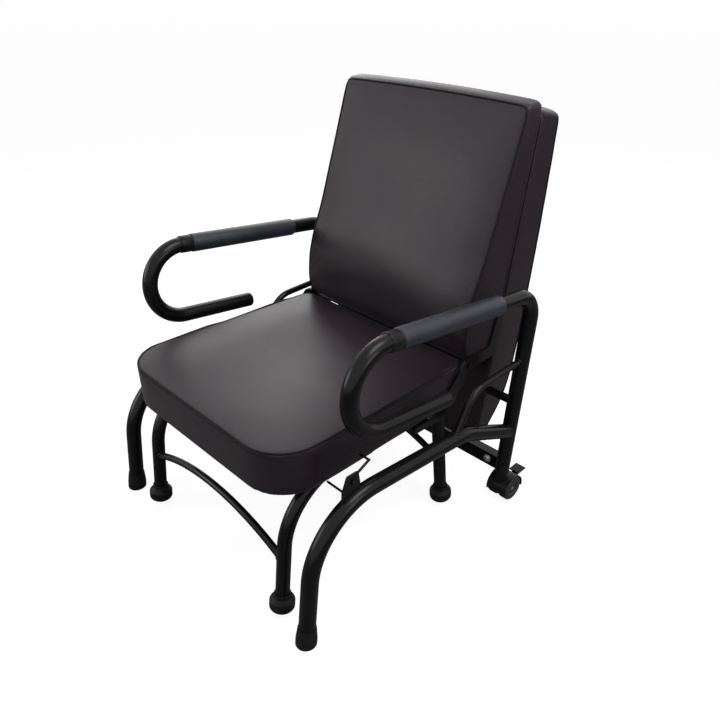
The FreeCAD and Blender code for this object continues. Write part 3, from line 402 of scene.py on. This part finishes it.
TREAD = make_finish(
    "wheel_tread", dark=(0.013, 0.013, 0.0135), light=(0.020, 0.020, 0.0205),
    scuff=(0.060, 0.058, 0.055), roughness=(0.45, 0.60), depth=0.00008,
    relief={"Cells": 1100, "Ripple": 700, "Cell_Share": 0.3},
    wear={"Patch_Scale": 26, "Streak_Scale": 150})
ZINC = make_finish(
    "zinc_plate", dark=(0.50, 0.50, 0.48), light=(0.62, 0.62, 0.60),
    scuff=(0.38, 0.36, 0.32), roughness=(0.28, 0.42), depth=0.00003, metallic=1.0,
    relief={"Cells": 700, "Ripple": 1500, "Cell_Share": 0.2},
    wear={"Patch_Scale": 60, "Streak_Scale": 260})
BOARD = make_finish(
    "plywood", dark=(0.34, 0.23, 0.13), light=(0.44, 0.31, 0.19),
    scuff=(0.25, 0.16, 0.09), roughness=(0.60, 0.75), depth=0.00015,
    relief={"Cells": 160, "Ripple": 420, "Cell_Share": 0.1},
    wear={"Patch_Scale": 8, "Streak_Scale": 90})
add_puckers(LEATHER, scale=48, height=7)
FINISH_OF_SLOT = {
    "frame_coat": POWDER_COAT, "upholstery": LEATHER, "board": BOARD, "sleeve_foam": FOAM,
    "black_plastic": PLASTIC, "black_rubber": RUBBER, "wheel_tread": TREAD, "zinc": ZINC,
}
PAINTED_OVER = ("seat_hinge_pins", "rear_back_pivot_pins")


def dress_nodes():
    for row in frame["record"]["subparts"]:
        painted = row["node"] in PAINTED_OVER
        materials = NODES[row["node"]].data.materials
        materials.clear()
        materials.append(POWDER_COAT if painted else FINISH_OF_SLOT[row["material_slot"]])


dress_nodes()
print("finishes:", len(FINISH_OF_SLOT) + 1)

# %% [markdown]
# ## Helpers for new pieces
# A new piece is a mesh with a finish that rides on one body of the chair. Round trim, such as piping,
# is a curve with a bevel that is then made a mesh.

# %% Helpers
SAME = 1e-4
MERGE = 1e-6


def add_piece(name, mesh, finish, body):
    mesh.materials.clear()
    mesh.materials.append(finish)
    piece = bpy.data.objects.new(name, mesh)
    scene.collection.objects.link(piece)
    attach(piece, body)
    return piece


def finished_mesh(bm, name, smooth=True):
    mesh = bpy.data.meshes.new(name)
    bm.to_mesh(mesh)
    bm.free()
    for face in mesh.polygons:
        face.use_smooth = smooth
    return mesh


def evaluated_mesh(thing):
    bpy.context.view_layer.update()
    evaluated = thing.evaluated_get(bpy.context.evaluated_depsgraph_get())
    return bpy.data.meshes.new_from_object(evaluated)


def mesh_surface(mesh):
    """A mesh's faces, ready for rays and nearest places."""
    places = [vert.co for vert in mesh.vertices]
    return BVHTree.FromPolygons(places, [face.vertices for face in mesh.polygons])


def set_at(place, ahead):
    """The transform that puts a shape at a place, with its own z axis turned ahead."""
    return Matrix.Translation(place) @ ahead.to_track_quat("Z", "Y").to_matrix().to_4x4()


def round_trim(name, points, radius, ripple=0.0):
    """A closed round tube along points, as a mesh. A ripple makes every second point fatter."""
    curve = bpy.data.curves.new(name, "CURVE")
    curve.dimensions = "3D"
    curve.bevel_depth, curve.bevel_resolution = radius, 3
    curve.use_fill_caps = True
    spline = curve.splines.new("POLY")
    spline.points.add(len(points) - 1)
    for i, (place, point) in enumerate(zip(spline.points, points)):
        place.co = (*point, 1)
        place.radius = 1 + ripple * (i % 2)
    spline.use_cyclic_u = True
    thing = bpy.data.objects.new(name, curve)
    scene.collection.objects.link(thing)
    mesh = evaluated_mesh(thing)
    bpy.data.objects.remove(thing)
    bpy.data.curves.remove(curve)
    for face in mesh.polygons:
        face.use_smooth = True
    return mesh


def rim(faces):
    """The outline of a patch of faces, as an ordered loop of points."""
    patch = set(faces)
    edges = [edge for face in faces for edge in face.edges
             if sum(other in patch for other in edge.link_faces) == 1]
    vert = edges[0].verts[0]
    loop = []
    while edges:
        loop.append(vert.co.copy())
        edge = next(edge for edge in vert.link_edges if edge in edges)
        edges.remove(edge)
        vert = edge.other_vert(vert)
    return loop


def even_points(loop, step):
    """Points along a closed loop, about step apart."""
    points = []
    for start, end in zip(loop, loop[1:] + loop[:1]):
        count = max(1, round((end - start).length / step))
        points += [start.lerp(end, i / count) for i in range(count)]
    return points


print("helpers ready, places are the same within", SAME, "m")

# %% [markdown]
# ## Stuffing a cushion
# Upholstery gets its shape from foam that presses a sewn cover outwards while the seams hold it in. A
# block could be sculpted to look so, but a cloth simulation finds the same balance by itself: the block
# is remeshed into even quads, its seams are pinned, and pressure swells the panels between them. A cap
# keeps every point near its start.

# %% Cushion simulation
VOXEL = 0.006
PRESSURE = 4
SIM_FRAMES = 20


def remeshed(name, bm):
    blank = bpy.data.objects.new(name, finished_mesh(bm, name))
    scene.collection.objects.link(blank)
    remesh = blank.modifiers.new("remesh", "REMESH")
    remesh.mode, remesh.voxel_size = "VOXEL", VOXEL
    mesh = evaluated_mesh(blank)
    bpy.data.objects.remove(blank)
    return mesh


def stuffed(name, mesh, held, cap):
    """Swells a mesh by cloth pressure. held(point) says whether a point is sewn down."""
    cover = bpy.data.objects.new(name, mesh)
    scene.collection.objects.link(cover)
    rest = [vert.co.copy() for vert in mesh.vertices]
    pinned = cover.vertex_groups.new(name="sewn")
    pinned.add([i for i, point in enumerate(rest) if held(point)], 1.0, "REPLACE")
    cloth = cover.modifiers.new("stuffing", "CLOTH")
    settings = cloth.settings
    settings.quality = 5
    settings.mass = 0.35
    settings.tension_stiffness, settings.compression_stiffness = 14, 14
    settings.shear_stiffness, settings.bending_stiffness = 6, 1.5
    settings.use_pressure = True
    settings.uniform_pressure_force = PRESSURE
    settings.effector_weights.gravity = 0
    settings.vertex_group_mass = "sewn"
    cloth.collision_settings.use_collision = False
    cloth.point_cache.frame_start, cloth.point_cache.frame_end = 1, SIM_FRAMES
    for number in range(1, SIM_FRAMES + 1):
        scene.frame_set(number)
    swollen = evaluated_mesh(cover)
    bpy.data.objects.remove(cover)
    scene.frame_set(1)
    for vert, start in zip(swollen.vertices, rest):
        move = vert.co - start
        if move.length > cap:
            vert.co = start + move.normalized() * cap
    return swollen


print("covers are stuffed over", SIM_FRAMES, "frames")

# %% [markdown]
# ## Seams, piping and stitches
# The remesh erases any seam narrower than its quads, so seams come after the stuffing. The cover is
# drawn in along them, and each of its points keeps how near it is to one, for the puckers. Piping is a
# cord in a strip of leather: a line laid on the cover, with its wobbles averaged out, and made a round
# tube. A stitch is a short thread.

# %% Seams and trim
SEAM_DEPTH, SEAM_REACH = 0.0015, 0.012
PIPING_RADIUS, EASE_PASSES = 0.0026, 12
STITCH_LENGTH, THREAD_RADIUS = 0.0036, 0.0005


def point_tree(lines):
    points = [point for line in lines for point in line]
    tree = KDTree(len(points))
    for i, point in enumerate(points):
        tree.insert(point, i)
    tree.balance()
    return tree


def sew(mesh, seams):
    """Draws the cover in along its seams, and marks how near each point is to one."""
    tree = point_tree(seams)
    normals = [vert.normal.copy() for vert in mesh.vertices]
    near = mesh.attributes.new("seam", "FLOAT", "POINT")
    for i, vert in enumerate(mesh.vertices):
        distance = tree.find(vert.co)[2]
        pull = max(0.0, 1 - distance / SEAM_REACH) ** 2
        vert.co -= normals[i] * SEAM_DEPTH * pull
        near.data[i].value = pull


def upholster(name, mesh, body, nodes):
    for face in mesh.polygons:
        face.use_smooth = True
    cushion = add_piece(name, mesh, LEATHER, body)
    smooth = cushion.modifiers.new("smooth", "SUBSURF")
    smooth.levels = smooth.render_levels = 1
    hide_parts(*nodes)
    print(name, len(mesh.polygons), "faces")
    return cushion


def laid_on(cover, line):
    """The points of a line, each moved to the nearest place on a cover."""
    surface = mesh_surface(cover)
    return [surface.find_nearest(point)[0] for point in line]


def with_neighbours(loop):
    """Each point of a closed line, between the ones before and after it."""
    return zip(loop[-1:] + loop[:-1], loop, loop[1:] + loop[:1])


def eased(loop):
    """A closed line with its wobbles averaged out."""
    for _ in range(EASE_PASSES):
        loop = [(before + here * 2 + after) / 4 for before, here, after in with_neighbours(loop)]
    return loop


def sew_piping(name, cover, loop, body, finish=PIPING):
    line = eased(laid_on(cover, even_points(loop, PIPING_RADIUS * 2)))
    return add_piece(name, round_trim(name, line, PIPING_RADIUS), finish, body)


def sew_stitches(name, cover, line, body):
    """Short threads on the cover, one for each point of a line."""
    bm = bmesh.new()
    for before, here, after in with_neighbours(laid_on(cover, line)):
        bmesh.ops.create_cone(bm, cap_ends=True, segments=6, radius1=THREAD_RADIUS,
                              radius2=THREAD_RADIUS, depth=STITCH_LENGTH,
                              matrix=set_at(here, after - before))
    add_piece(name, finished_mesh(bm, name), PIPING, body)


print("piping is", PIPING_RADIUS * 2, "m thick")

# %% [markdown]
# ## Seat cushion
# The seat is a box cushion: a crowned top panel, a band round the sides and a welt of piping where they
# meet. Its front corners are wide and it narrows to the rear. The blank is a block whose upright edges
# are bevelled; the top outline of that block is the line that the piping follows. A box keeps the cover
# clear of the hinges beside it. A row of stitches runs round the band just below the piping.

# %% Seat cushion
SEAT_EASE = Vector((0.005, 0.005, 0))
SEAT_LOW, SEAT_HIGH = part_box("seat_cushion")[0] - SEAT_EASE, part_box("seat_cushion")[1] + SEAT_EASE
SEAT_SEAM = 0.402
SEAT_REAR_HALF = 0.268
SEAT_FRONT_ROUND, SEAT_REAR_ROUND = 0.098, 0.026
SEAT_SWELL, SEAT_BULGE, SEAT_FILL = 0.022, 0.002, 0.85
STITCH_DROP, STITCH_STEP = 0.008, 0.0052


def seat_side(y):
    """How far out the seat's side is at a place along the chair."""
    along = (y - SEAT_LOW.y) / (SEAT_HIGH.y - SEAT_LOW.y)
    return SEAT_HIGH.x + (SEAT_REAR_HALF - SEAT_HIGH.x) * along


def upright_edges(bm, front):
    middle = (SEAT_LOW.y + SEAT_HIGH.y) / 2
    return [edge for edge in bm.edges if (edge.verts[0].co - edge.verts[1].co).xy.length < SAME
            and (edge.verts[0].co.y < middle) == front]


def seat_blank():
    bm = bmesh.new()
    bmesh.ops.create_cube(bm, size=1)
    low, high = SEAT_LOW.copy(), SEAT_HIGH.copy()
    high.z = SEAT_SEAM
    bmesh.ops.scale(bm, vec=high - low, verts=bm.verts)
    bmesh.ops.translate(bm, vec=(low + high) / 2, verts=bm.verts)
    rear = [vert for vert in bm.verts if vert.co.y > 0]
    bmesh.ops.scale(bm, vec=(SEAT_REAR_HALF / SEAT_HIGH.x, 1, 1), verts=rear)
    front_edges, rear_edges = upright_edges(bm, True), upright_edges(bm, False)
    for edges, radius in ((front_edges, SEAT_FRONT_ROUND), (rear_edges, SEAT_REAR_ROUND)):
        bmesh.ops.bevel(bm, geom=edges, offset=radius, offset_type="OFFSET", affect="EDGES",
                        segments=10, profile=0.5, material=-1)
    return bm


def make_seat():
    bm = seat_blank()
    top = [face for face in bm.faces if face.calc_center_median().z > SEAT_SEAM - SAME]
    base = [face for face in bm.faces if face.calc_center_median().z < SEAT_LOW.z + SAME]
    top_seam, base_seam = rim(top), rim(base)
    mesh = remeshed("seat_cover", bm)
    lines = [even_points(seam, VOXEL) for seam in (top_seam, base_seam)]
    tree = point_tree(lines)

    def held(point):
        return tree.find(point)[2] < VOXEL or point.z < SEAT_LOW.z + VOXEL / 2

    mesh = stuffed("seat_cover", mesh, held, SEAT_SWELL)
    for vert in mesh.vertices:
        side = seat_side(vert.co.y)
        vert.co.x = min(max(vert.co.x, -side), side)
        vert.co.y = min(max(vert.co.y, SEAT_LOW.y - SEAT_BULGE), SEAT_HIGH.y)
    sew(mesh, lines)
    upholster("seat_cushion_cover", mesh, "seat_frame", ("seat_cushion",))
    sew_piping("seat_top_piping", mesh, top_seam, "seat_frame")
    drop = Vector((0, 0, STITCH_DROP))
    stitch_line = [point - drop for point in even_points(top_seam, STITCH_STEP)]
    sew_stitches("seat_band_stitches", mesh, stitch_line, "seat_frame")


make_seat()

# %% [markdown]
# ## Back cushions
# The back is two padded boards, folded together at the top. The front one is thin at the top and swells
# at the small of the back; the rear one is longer, deepens downward and turns under at its foot. Both
# are drawn as a side outline, measured down from the fold hinge and out from the fold plane, extruded
# across the chair and rounded at the corners. The step at the start of each outline leaves room for the
# hinge. Their top ends are crowned, and press together when the back unfolds into a bed.

# %% Back blanks
BACK_LEAN = math.radians(9.5)
FOLD = Vector(JOINTS["rear_back_unfold"]["pos_m"])
DOWN = Vector((0, -math.sin(BACK_LEAN), -math.cos(BACK_LEAN)))
REAR = Vector((0, math.cos(BACK_LEAN), -math.sin(BACK_LEAN)))
BACK_CLEAR = 0.0003
BACK_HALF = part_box("front_back_board")[1].x
BACK_SIDE = BACK_HALF - BACK_CLEAR
FRONT_CORNER, REAR_CORNER, FOOT_CORNER = 0.018, 0.030, 0.014
FRONT_OUTLINE = (
    (0.007, -0.001), (0.007, -0.007), (0.001, -0.007), (0.001, -0.018), (0.012, -0.051),
    (0.180, -0.080), (0.310, -0.103), (0.380, -0.122), (0.440, -0.130), (0.500, -0.124),
    (0.538, -0.110), (0.552, -0.092), (0.552, -0.001))
REAR_OUTLINE = (
    (0.007, 0.001), (0.007, 0.007), (0.001, 0.007), (0.001, 0.062), (0.012, 0.073), (0.150, 0.086),
    (0.290, 0.097), (0.420, 0.104), (0.520, 0.107), (0.620, 0.104), (0.660, 0.096), (0.694, 0.084),
    (0.723, 0.067), (0.750, 0.048), (0.772, 0.036), (0.788, 0.026), (0.788, 0.001))


def on_back(x, down, out):
    return FOLD + Vector((x, 0, 0)) + DOWN * down + REAR * out


def back_place(point):
    """A point's (down, out) beside the fold plane."""
    offset = point - FOLD
    return offset.dot(DOWN), offset.dot(REAR)


def end_edges(bm, down):
    """The two edges at an end of the blank that run out from the fold plane along its sides."""
    return [edge for edge in bm.edges if abs(edge.verts[0].co.x - edge.verts[1].co.x) < SAME
            and all(abs(back_place(vert.co)[0] - down) < SAME for vert in edge.verts)]


def back_blank(outline, corner):
    bm = bmesh.new()
    verts = [bm.verts.new(on_back(-BACK_SIDE, *place)) for place in outline]
    start = bm.faces.new(verts)
    swept = bmesh.ops.extrude_face_region(bm, geom=[start])
    moved = [item for item in swept["geom"] if isinstance(item, bmesh.types.BMVert)]
    bmesh.ops.translate(bm, vec=(2 * BACK_SIDE, 0, 0), verts=moved)
    bmesh.ops.recalc_face_normals(bm, faces=bm.faces)
    top, foot = outline[2][0], outline[-1][0]
    for down, radius in ((top, corner), (foot, FOOT_CORNER)):
        bmesh.ops.bevel(bm, geom=end_edges(bm, down), offset=radius, offset_type="OFFSET",
                        affect="EDGES", segments=6, profile=0.5, material=-1)
    bm.normal_update()
    return bm


print("back covers, each", round(BACK_HALF * 2, 3), "m wide")

# %% [markdown]
# ## Back covers
# Each blank has two seams: the outline of its face, and that of its backing on the fold plane. A panel
# belongs to the face if it looks squarely enough out from that plane. After the stuffing, the face is
# rounded off to the sides as a pillow is. Piping in the duller leather follows the face; the edge
# beside the fold has piping in the cover's own leather.

# %% Back covers
BACK_SWELL, BACK_FILL, PRESSED, FOLD_GAP = 0.022, 0.8, 0.004, 0.001
FACE_SQUARE, FACE_OUT, FACE_ACROSS = 0.6, 0.02, 0.1
BACKING_SQUARE, BACKING_OUT = 0.9, 0.002
PILLOW_WIDTH, PILLOW_DROP = 0.085, 0.06
FRONT_CROWN, REAR_CROWN, CROWN_REACH = (0.012, 0.006), (-0.006, -0.010), 0.10


def back_seams(bm, sign):
    """The outline of a blank's face and that of its backing. The sign is 1 for the rear blank."""
    def is_face(face):
        out = back_place(face.calc_center_median())[1] * sign
        square = face.normal.dot(REAR) * sign
        return abs(face.normal.x) < FACE_ACROSS and square > FACE_SQUARE and out > FACE_OUT

    def is_backing(face):
        out = back_place(face.calc_center_median())[1]
        return face.normal.dot(REAR) * -sign > BACKING_SQUARE and abs(out) < BACKING_OUT

    return [rim([face for face in bm.faces if chosen(face)]) for chosen in (is_face, is_backing)]


def keep_clear(mesh, sign):
    """Keeps a stuffed cover between its sides and off the fold plane."""
    for vert in mesh.vertices:
        vert.co.x = min(max(vert.co.x, -BACK_SIDE), BACK_SIDE)
        out = back_place(vert.co)[1]
        if out * sign < FOLD_GAP:
            vert.co += REAR * (FOLD_GAP * sign - out)


def plumped(point, crown):
    """Raises a cover's top by the crown at its middle and corners, and rounds its face to the sides."""
    down, out = back_place(point)
    share = max(0.0, 1 - down / CROWN_REACH) ** 2
    middle = 1 - (point.x / BACK_HALF) ** 2
    raised = share * (crown[1] + (crown[0] - crown[1]) * middle)
    near = max(0.0, 1 - (BACK_HALF - abs(point.x)) / PILLOW_WIDTH)
    return point - DOWN * raised - REAR * out * PILLOW_DROP * near ** 2


def sew_back_piping(name, mesh, seams, crown, sign, body):
    clear = REAR * sign * (PIPING_RADIUS + FOLD_GAP)
    rows = zip(("face", "edge"), seams, (PIPING, LEATHER), (Vector((0, 0, 0)), clear))
    pieces = []
    for part, seam, finish, shift in rows:
        loop = [plumped(point + shift, crown) for point in even_points(seam, VOXEL)]
        trim = f"{name.replace('cover', part)}_piping"
        pieces.append(sew_piping(trim, mesh, loop, body, finish))
    return pieces


def make_back(name, outline, corner, crown, body, nodes):
    bm = back_blank(outline, corner)
    sign = 1 if outline[1][1] > 0 else -1
    seams = back_seams(bm, sign)
    mesh = remeshed(name, bm)
    lines = [even_points(seam, VOXEL) for seam in seams]
    tree = point_tree(lines)

    def held(point):
        return tree.find(point)[2] < VOXEL or abs(back_place(point)[1]) < VOXEL / 2

    mesh = stuffed(name, mesh, held, BACK_SWELL)
    keep_clear(mesh, sign)
    sew(mesh, lines)
    for vert in mesh.vertices:
        vert.co = plumped(vert.co, crown)
    pieces = [upholster(name, mesh, body, nodes)]
    pieces += sew_back_piping(name, mesh, seams, crown, sign, body)
    for piece in pieces:
        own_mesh(piece)


make_back("front_back_cover", FRONT_OUTLINE, FRONT_CORNER, FRONT_CROWN, "front_back",
          ("front_back_cushion", "front_back_board"))
make_back("rear_back_cover", REAR_OUTLINE, REAR_CORNER, REAR_CROWN, "rear_back",
          ("rear_back_cushion", "rear_back_board"))

# %% [markdown]
# ## Armrest sleeves
# A foam tube with rounded ends is pushed over each armrest, and a fluted collar stops it at the front.
# Both are turned shapes, so a profile is spun about the armrest's line; the collar's flutes are every
# second column of the spin, drawn in a little.

# %% Armrest sleeves
ARM_RISE = math.radians(5.8)
ARM_AHEAD = Vector((0, -math.cos(ARM_RISE), math.sin(ARM_RISE)))
SLEEVE_LENGTH, SLEEVE_BORE, SLEEVE_RADIUS, SLEEVE_ROUND = 0.302, 0.0177, 0.0212, 0.004
COLLAR_LENGTH, COLLAR_RADIUS, COLLAR_LIP, FLUTE_SHARE = 0.030, 0.0198, 0.003, 0.945
TURN_STEPS = 48


def turned(profile, place, flute=1.0):
    """Spins a closed profile of (along, radius) points. A flute below 1 draws in every second column."""
    bm = bmesh.new()
    verts = [bm.verts.new((radius, 0, along)) for along, radius in profile]
    edges = [bm.edges.new(pair) for pair in zip(verts, verts[1:] + verts[:1])]
    bmesh.ops.spin(bm, geom=verts + edges, cent=(0, 0, 0), axis=(0, 0, 1), angle=math.tau,
                   steps=TURN_STEPS, use_merge=True)
    bmesh.ops.remove_doubles(bm, verts=bm.verts, dist=MERGE)
    for vert in bm.verts:
        column = round(math.atan2(vert.co.y, vert.co.x) / math.tau * TURN_STEPS)
        if column % 2 and vert.co.xy.length > SLEEVE_BORE + SAME:
            vert.co.xy *= flute
    bmesh.ops.recalc_face_normals(bm, faces=bm.faces)
    bmesh.ops.transform(bm, matrix=set_at(place, ARM_AHEAD), verts=bm.verts)
    return bm


def rounded_tube(length, radius, corner):
    """The profile of a tube over the armrest, with round outer corners."""
    near = []
    for angle in (90, 60, 30, 0):
        turn = math.radians(angle)
        near.append((corner - corner * math.sin(turn), radius - corner + corner * math.cos(turn)))
    far = [(length - along, out) for along, out in reversed(near)]
    return [(0, SLEEVE_BORE), *near, *far, (length, SLEEVE_BORE)]


def make_sleeve(label):
    low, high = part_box(f"{label}_arm_sleeve")
    start = (low + high) / 2 - ARM_AHEAD * SLEEVE_LENGTH / 2
    bm = turned(rounded_tube(SLEEVE_LENGTH, SLEEVE_RADIUS, SLEEVE_ROUND), start)
    name = f"{label}_foam_sleeve"
    sleeve = add_piece(name, finished_mesh(bm, name), FOAM, "outer_frame")
    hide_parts(f"{label}_arm_sleeve")
    end = start + ARM_AHEAD * SLEEVE_LENGTH
    bm = turned(rounded_tube(COLLAR_LENGTH, COLLAR_RADIUS, COLLAR_LIP), end, FLUTE_SHARE)
    name = f"{label}_sleeve_collar"
    add_piece(name, finished_mesh(bm, name), PLASTIC, "outer_frame")


for label, _ in SIDES:
    make_sleeve(label)
print("sleeves:", len(SIDES))

# %% [markdown]
# ## Weld beads
# Where one tube ends on another, a welder leaves a rippled bead round the joint. The joint's line is a
# saddle curve: rays are sent from a ring inside the ending tube's wall, along that tube, and stop on
# the other one. A thin tube follows the points where they stop.

# %% Weld beads
BEAD_RADIUS, BEAD_RIPPLE, BEAD_POINTS, BEAD_START = 0.0021, 0.3, 44, 0.05
TUBE_RADIUS, BRACE_RADIUS = 0.0175, 0.008
GRAZE = 0.96
TAIL_HEIGHT, TAIL_AHEAD = 0.198, Vector((0, 0.913, -0.408))
BRACE_TOP_AHEAD, BRACE_FOOT_AHEAD = Vector((0, 1, 0)), Vector((0, -0.411, -0.912))
ARCH_FOOT, ARCH_SLOPE = 0.138, math.radians(25)


def weld(name, onto, joint, ahead, radius, body):
    """A bead where a tube of this radius, running ahead, meets the node named onto at about joint."""
    surface = mesh_surface(NODES[onto].data)
    ahead = ahead.normalized()
    across = ahead.orthogonal().normalized()
    over = ahead.cross(across)
    points = []
    for i in range(BEAD_POINTS):
        angle = math.tau * i / BEAD_POINTS
        ring = (across * math.cos(angle) + over * math.sin(angle)) * radius
        hit = surface.ray_cast(joint - ahead * BEAD_START + ring, ahead)[0]
        if hit:
            points.append(hit)
    mesh = round_trim(name, points, BEAD_RADIUS, BEAD_RIPPLE)
    add_piece(name, mesh, POWDER_COAT, body)


def weld_outer_frame(label):
    hoop, rail = f"{label}_side_hoop", f"{label}_side_rail"
    hoop_low, hoop_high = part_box(hoop)
    x = (hoop_low.x + hoop_high.x) / 2
    tail = Vector((x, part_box(rail)[1].y, TAIL_HEIGHT))
    low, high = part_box(f"{label}_curved_brace")
    top = Vector((x, high.y, high.z - BRACE_RADIUS))
    foot = Vector((x, low.y + BRACE_RADIUS, low.z + BRACE_RADIUS))
    rows = (
        ("tail", hoop, tail, TAIL_AHEAD, TUBE_RADIUS * GRAZE),
        ("brace_top", hoop, top, BRACE_TOP_AHEAD, BRACE_RADIUS),
        ("brace_foot", rail, foot, BRACE_FOOT_AHEAD, BRACE_RADIUS),
    )
    for part, onto, joint, ahead, radius in rows:
        weld(f"{label}_{part}_weld", onto, joint, ahead, radius, "outer_frame")


def weld_arch(end, label, side):
    low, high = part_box(f"{end}_arch")
    foot = Vector((high.x * side, (low.y + high.y) / 2, ARCH_FOOT))
    ahead = Vector((side * math.cos(ARCH_SLOPE), 0, -math.sin(ARCH_SLOPE)))
    weld(f"{end}_{label}_arch_weld", f"{label}_seat_rail", foot, ahead, BRACE_RADIUS, "seat_frame")


for label, side in SIDES:
    weld_outer_frame(label)
    weld_arch("front", label, side)
    weld_arch("rear", label, side)

# %% [markdown]
# ## Bolts and catches
# The crossbar and the catches are held by hexagon bolts with washers. A bolt head is a six-sided disc
# whose outer rim is chamfered by a bevel; the washer is a flat disc under it. The thin wire of a catch
# looks fuller with its paint, so a copy of it is swollen by the coat's thickness.

# %% Bolts and catches
BOLT_KEYS = {"crossbar_bolts": 0.013, "catch_bolts": 0.010}
HEAD_HEIGHT, WASHER_HEIGHT, HEAD_CHAMFER = 0.0048, 0.0012, 0.0009
WASHER_SHARE, SHANK_SHARE = 0.82, 0.3
CATCH_COAT = 0.0008


def add_disc(bm, matrix, segments, radius, low, high):
    """Adds a disc from low to high along the z axis of a transform."""
    middle = Matrix.Translation((0, 0, (low + high) / 2))
    return bmesh.ops.create_cone(bm, cap_ends=True, segments=segments, radius1=radius, radius2=radius,
                                 depth=high - low, matrix=matrix @ middle)


def hexagon_head(bm, key, seat, ahead):
    """Adds a washer and a bolt head on a seat, pointing ahead."""
    turn = set_at(seat, ahead)
    top = WASHER_HEIGHT + HEAD_HEIGHT
    head = add_disc(bm, turn, 6, key / math.sqrt(3), WASHER_HEIGHT, top)
    outer = max({face for vert in head["verts"] for face in vert.link_faces},
                key=lambda face: face.calc_center_median().dot(ahead))
    bmesh.ops.bevel(bm, geom=list(outer.edges), offset=HEAD_CHAMFER, offset_type="OFFSET",
                    affect="EDGES", segments=2, profile=0.5, material=-1)
    add_disc(bm, turn, 24, key * WASHER_SHARE, 0, WASHER_HEIGHT)


def bolt_boxes(node):
    """The corners of each side's bolt in a node that holds one on the left and one on the right."""
    for _, side in SIDES:
        places = [vert.co for vert in NODES[node].data.vertices if vert.co.x * side > 0]
        yield (Vector(min(place[i] for place in places) for i in range(3)),
               Vector(max(place[i] for place in places) for i in range(3)))


def make_bolts(node, axis, finish):
    bm = bmesh.new()
    ahead = Vector((0, 0, 0))
    ahead[axis] = 1
    key = BOLT_KEYS[node]
    height = HEAD_HEIGHT + WASHER_HEIGHT
    for low, high in bolt_boxes(node):
        middle = (low + high) / 2
        for tip, sign in ((low[axis], -1), (high[axis], 1)):
            seat = middle.copy()
            seat[axis] = tip - sign * height
            hexagon_head(bm, key, seat, ahead * sign)
        half = (high[axis] - low[axis]) / 2 - height
        add_disc(bm, set_at(middle, ahead), 16, key * SHANK_SHARE, -half, half)
    name = node.replace("bolts", "hexagon_bolts")
    piece = add_piece(name, finished_mesh(bm, name, smooth=False), finish, "outer_frame")
    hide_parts(node)


def make_catch_wire(label):
    """The catch with its coat of paint, which makes the thin wire fuller."""
    name = f"{label}_coated_catch"
    bm = bmesh.new()
    bm.from_mesh(NODES[f"{label}_wire_catch"].data)
    bmesh.ops.remove_doubles(bm, verts=bm.verts, dist=MERGE)
    bm.normal_update()
    for vert in bm.verts:
        vert.co += vert.normal * CATCH_COAT
    wire = add_piece(name, finished_mesh(bm, name), POWDER_COAT, f"{label}_catch")
    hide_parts(f"{label}_wire_catch")


for label, _ in SIDES:
    make_catch_wire(label)
make_bolts("crossbar_bolts", 1, ZINC)
make_bolts("catch_bolts", 0, POWDER_COAT)
print("bolt nodes:", len(BOLT_KEYS))
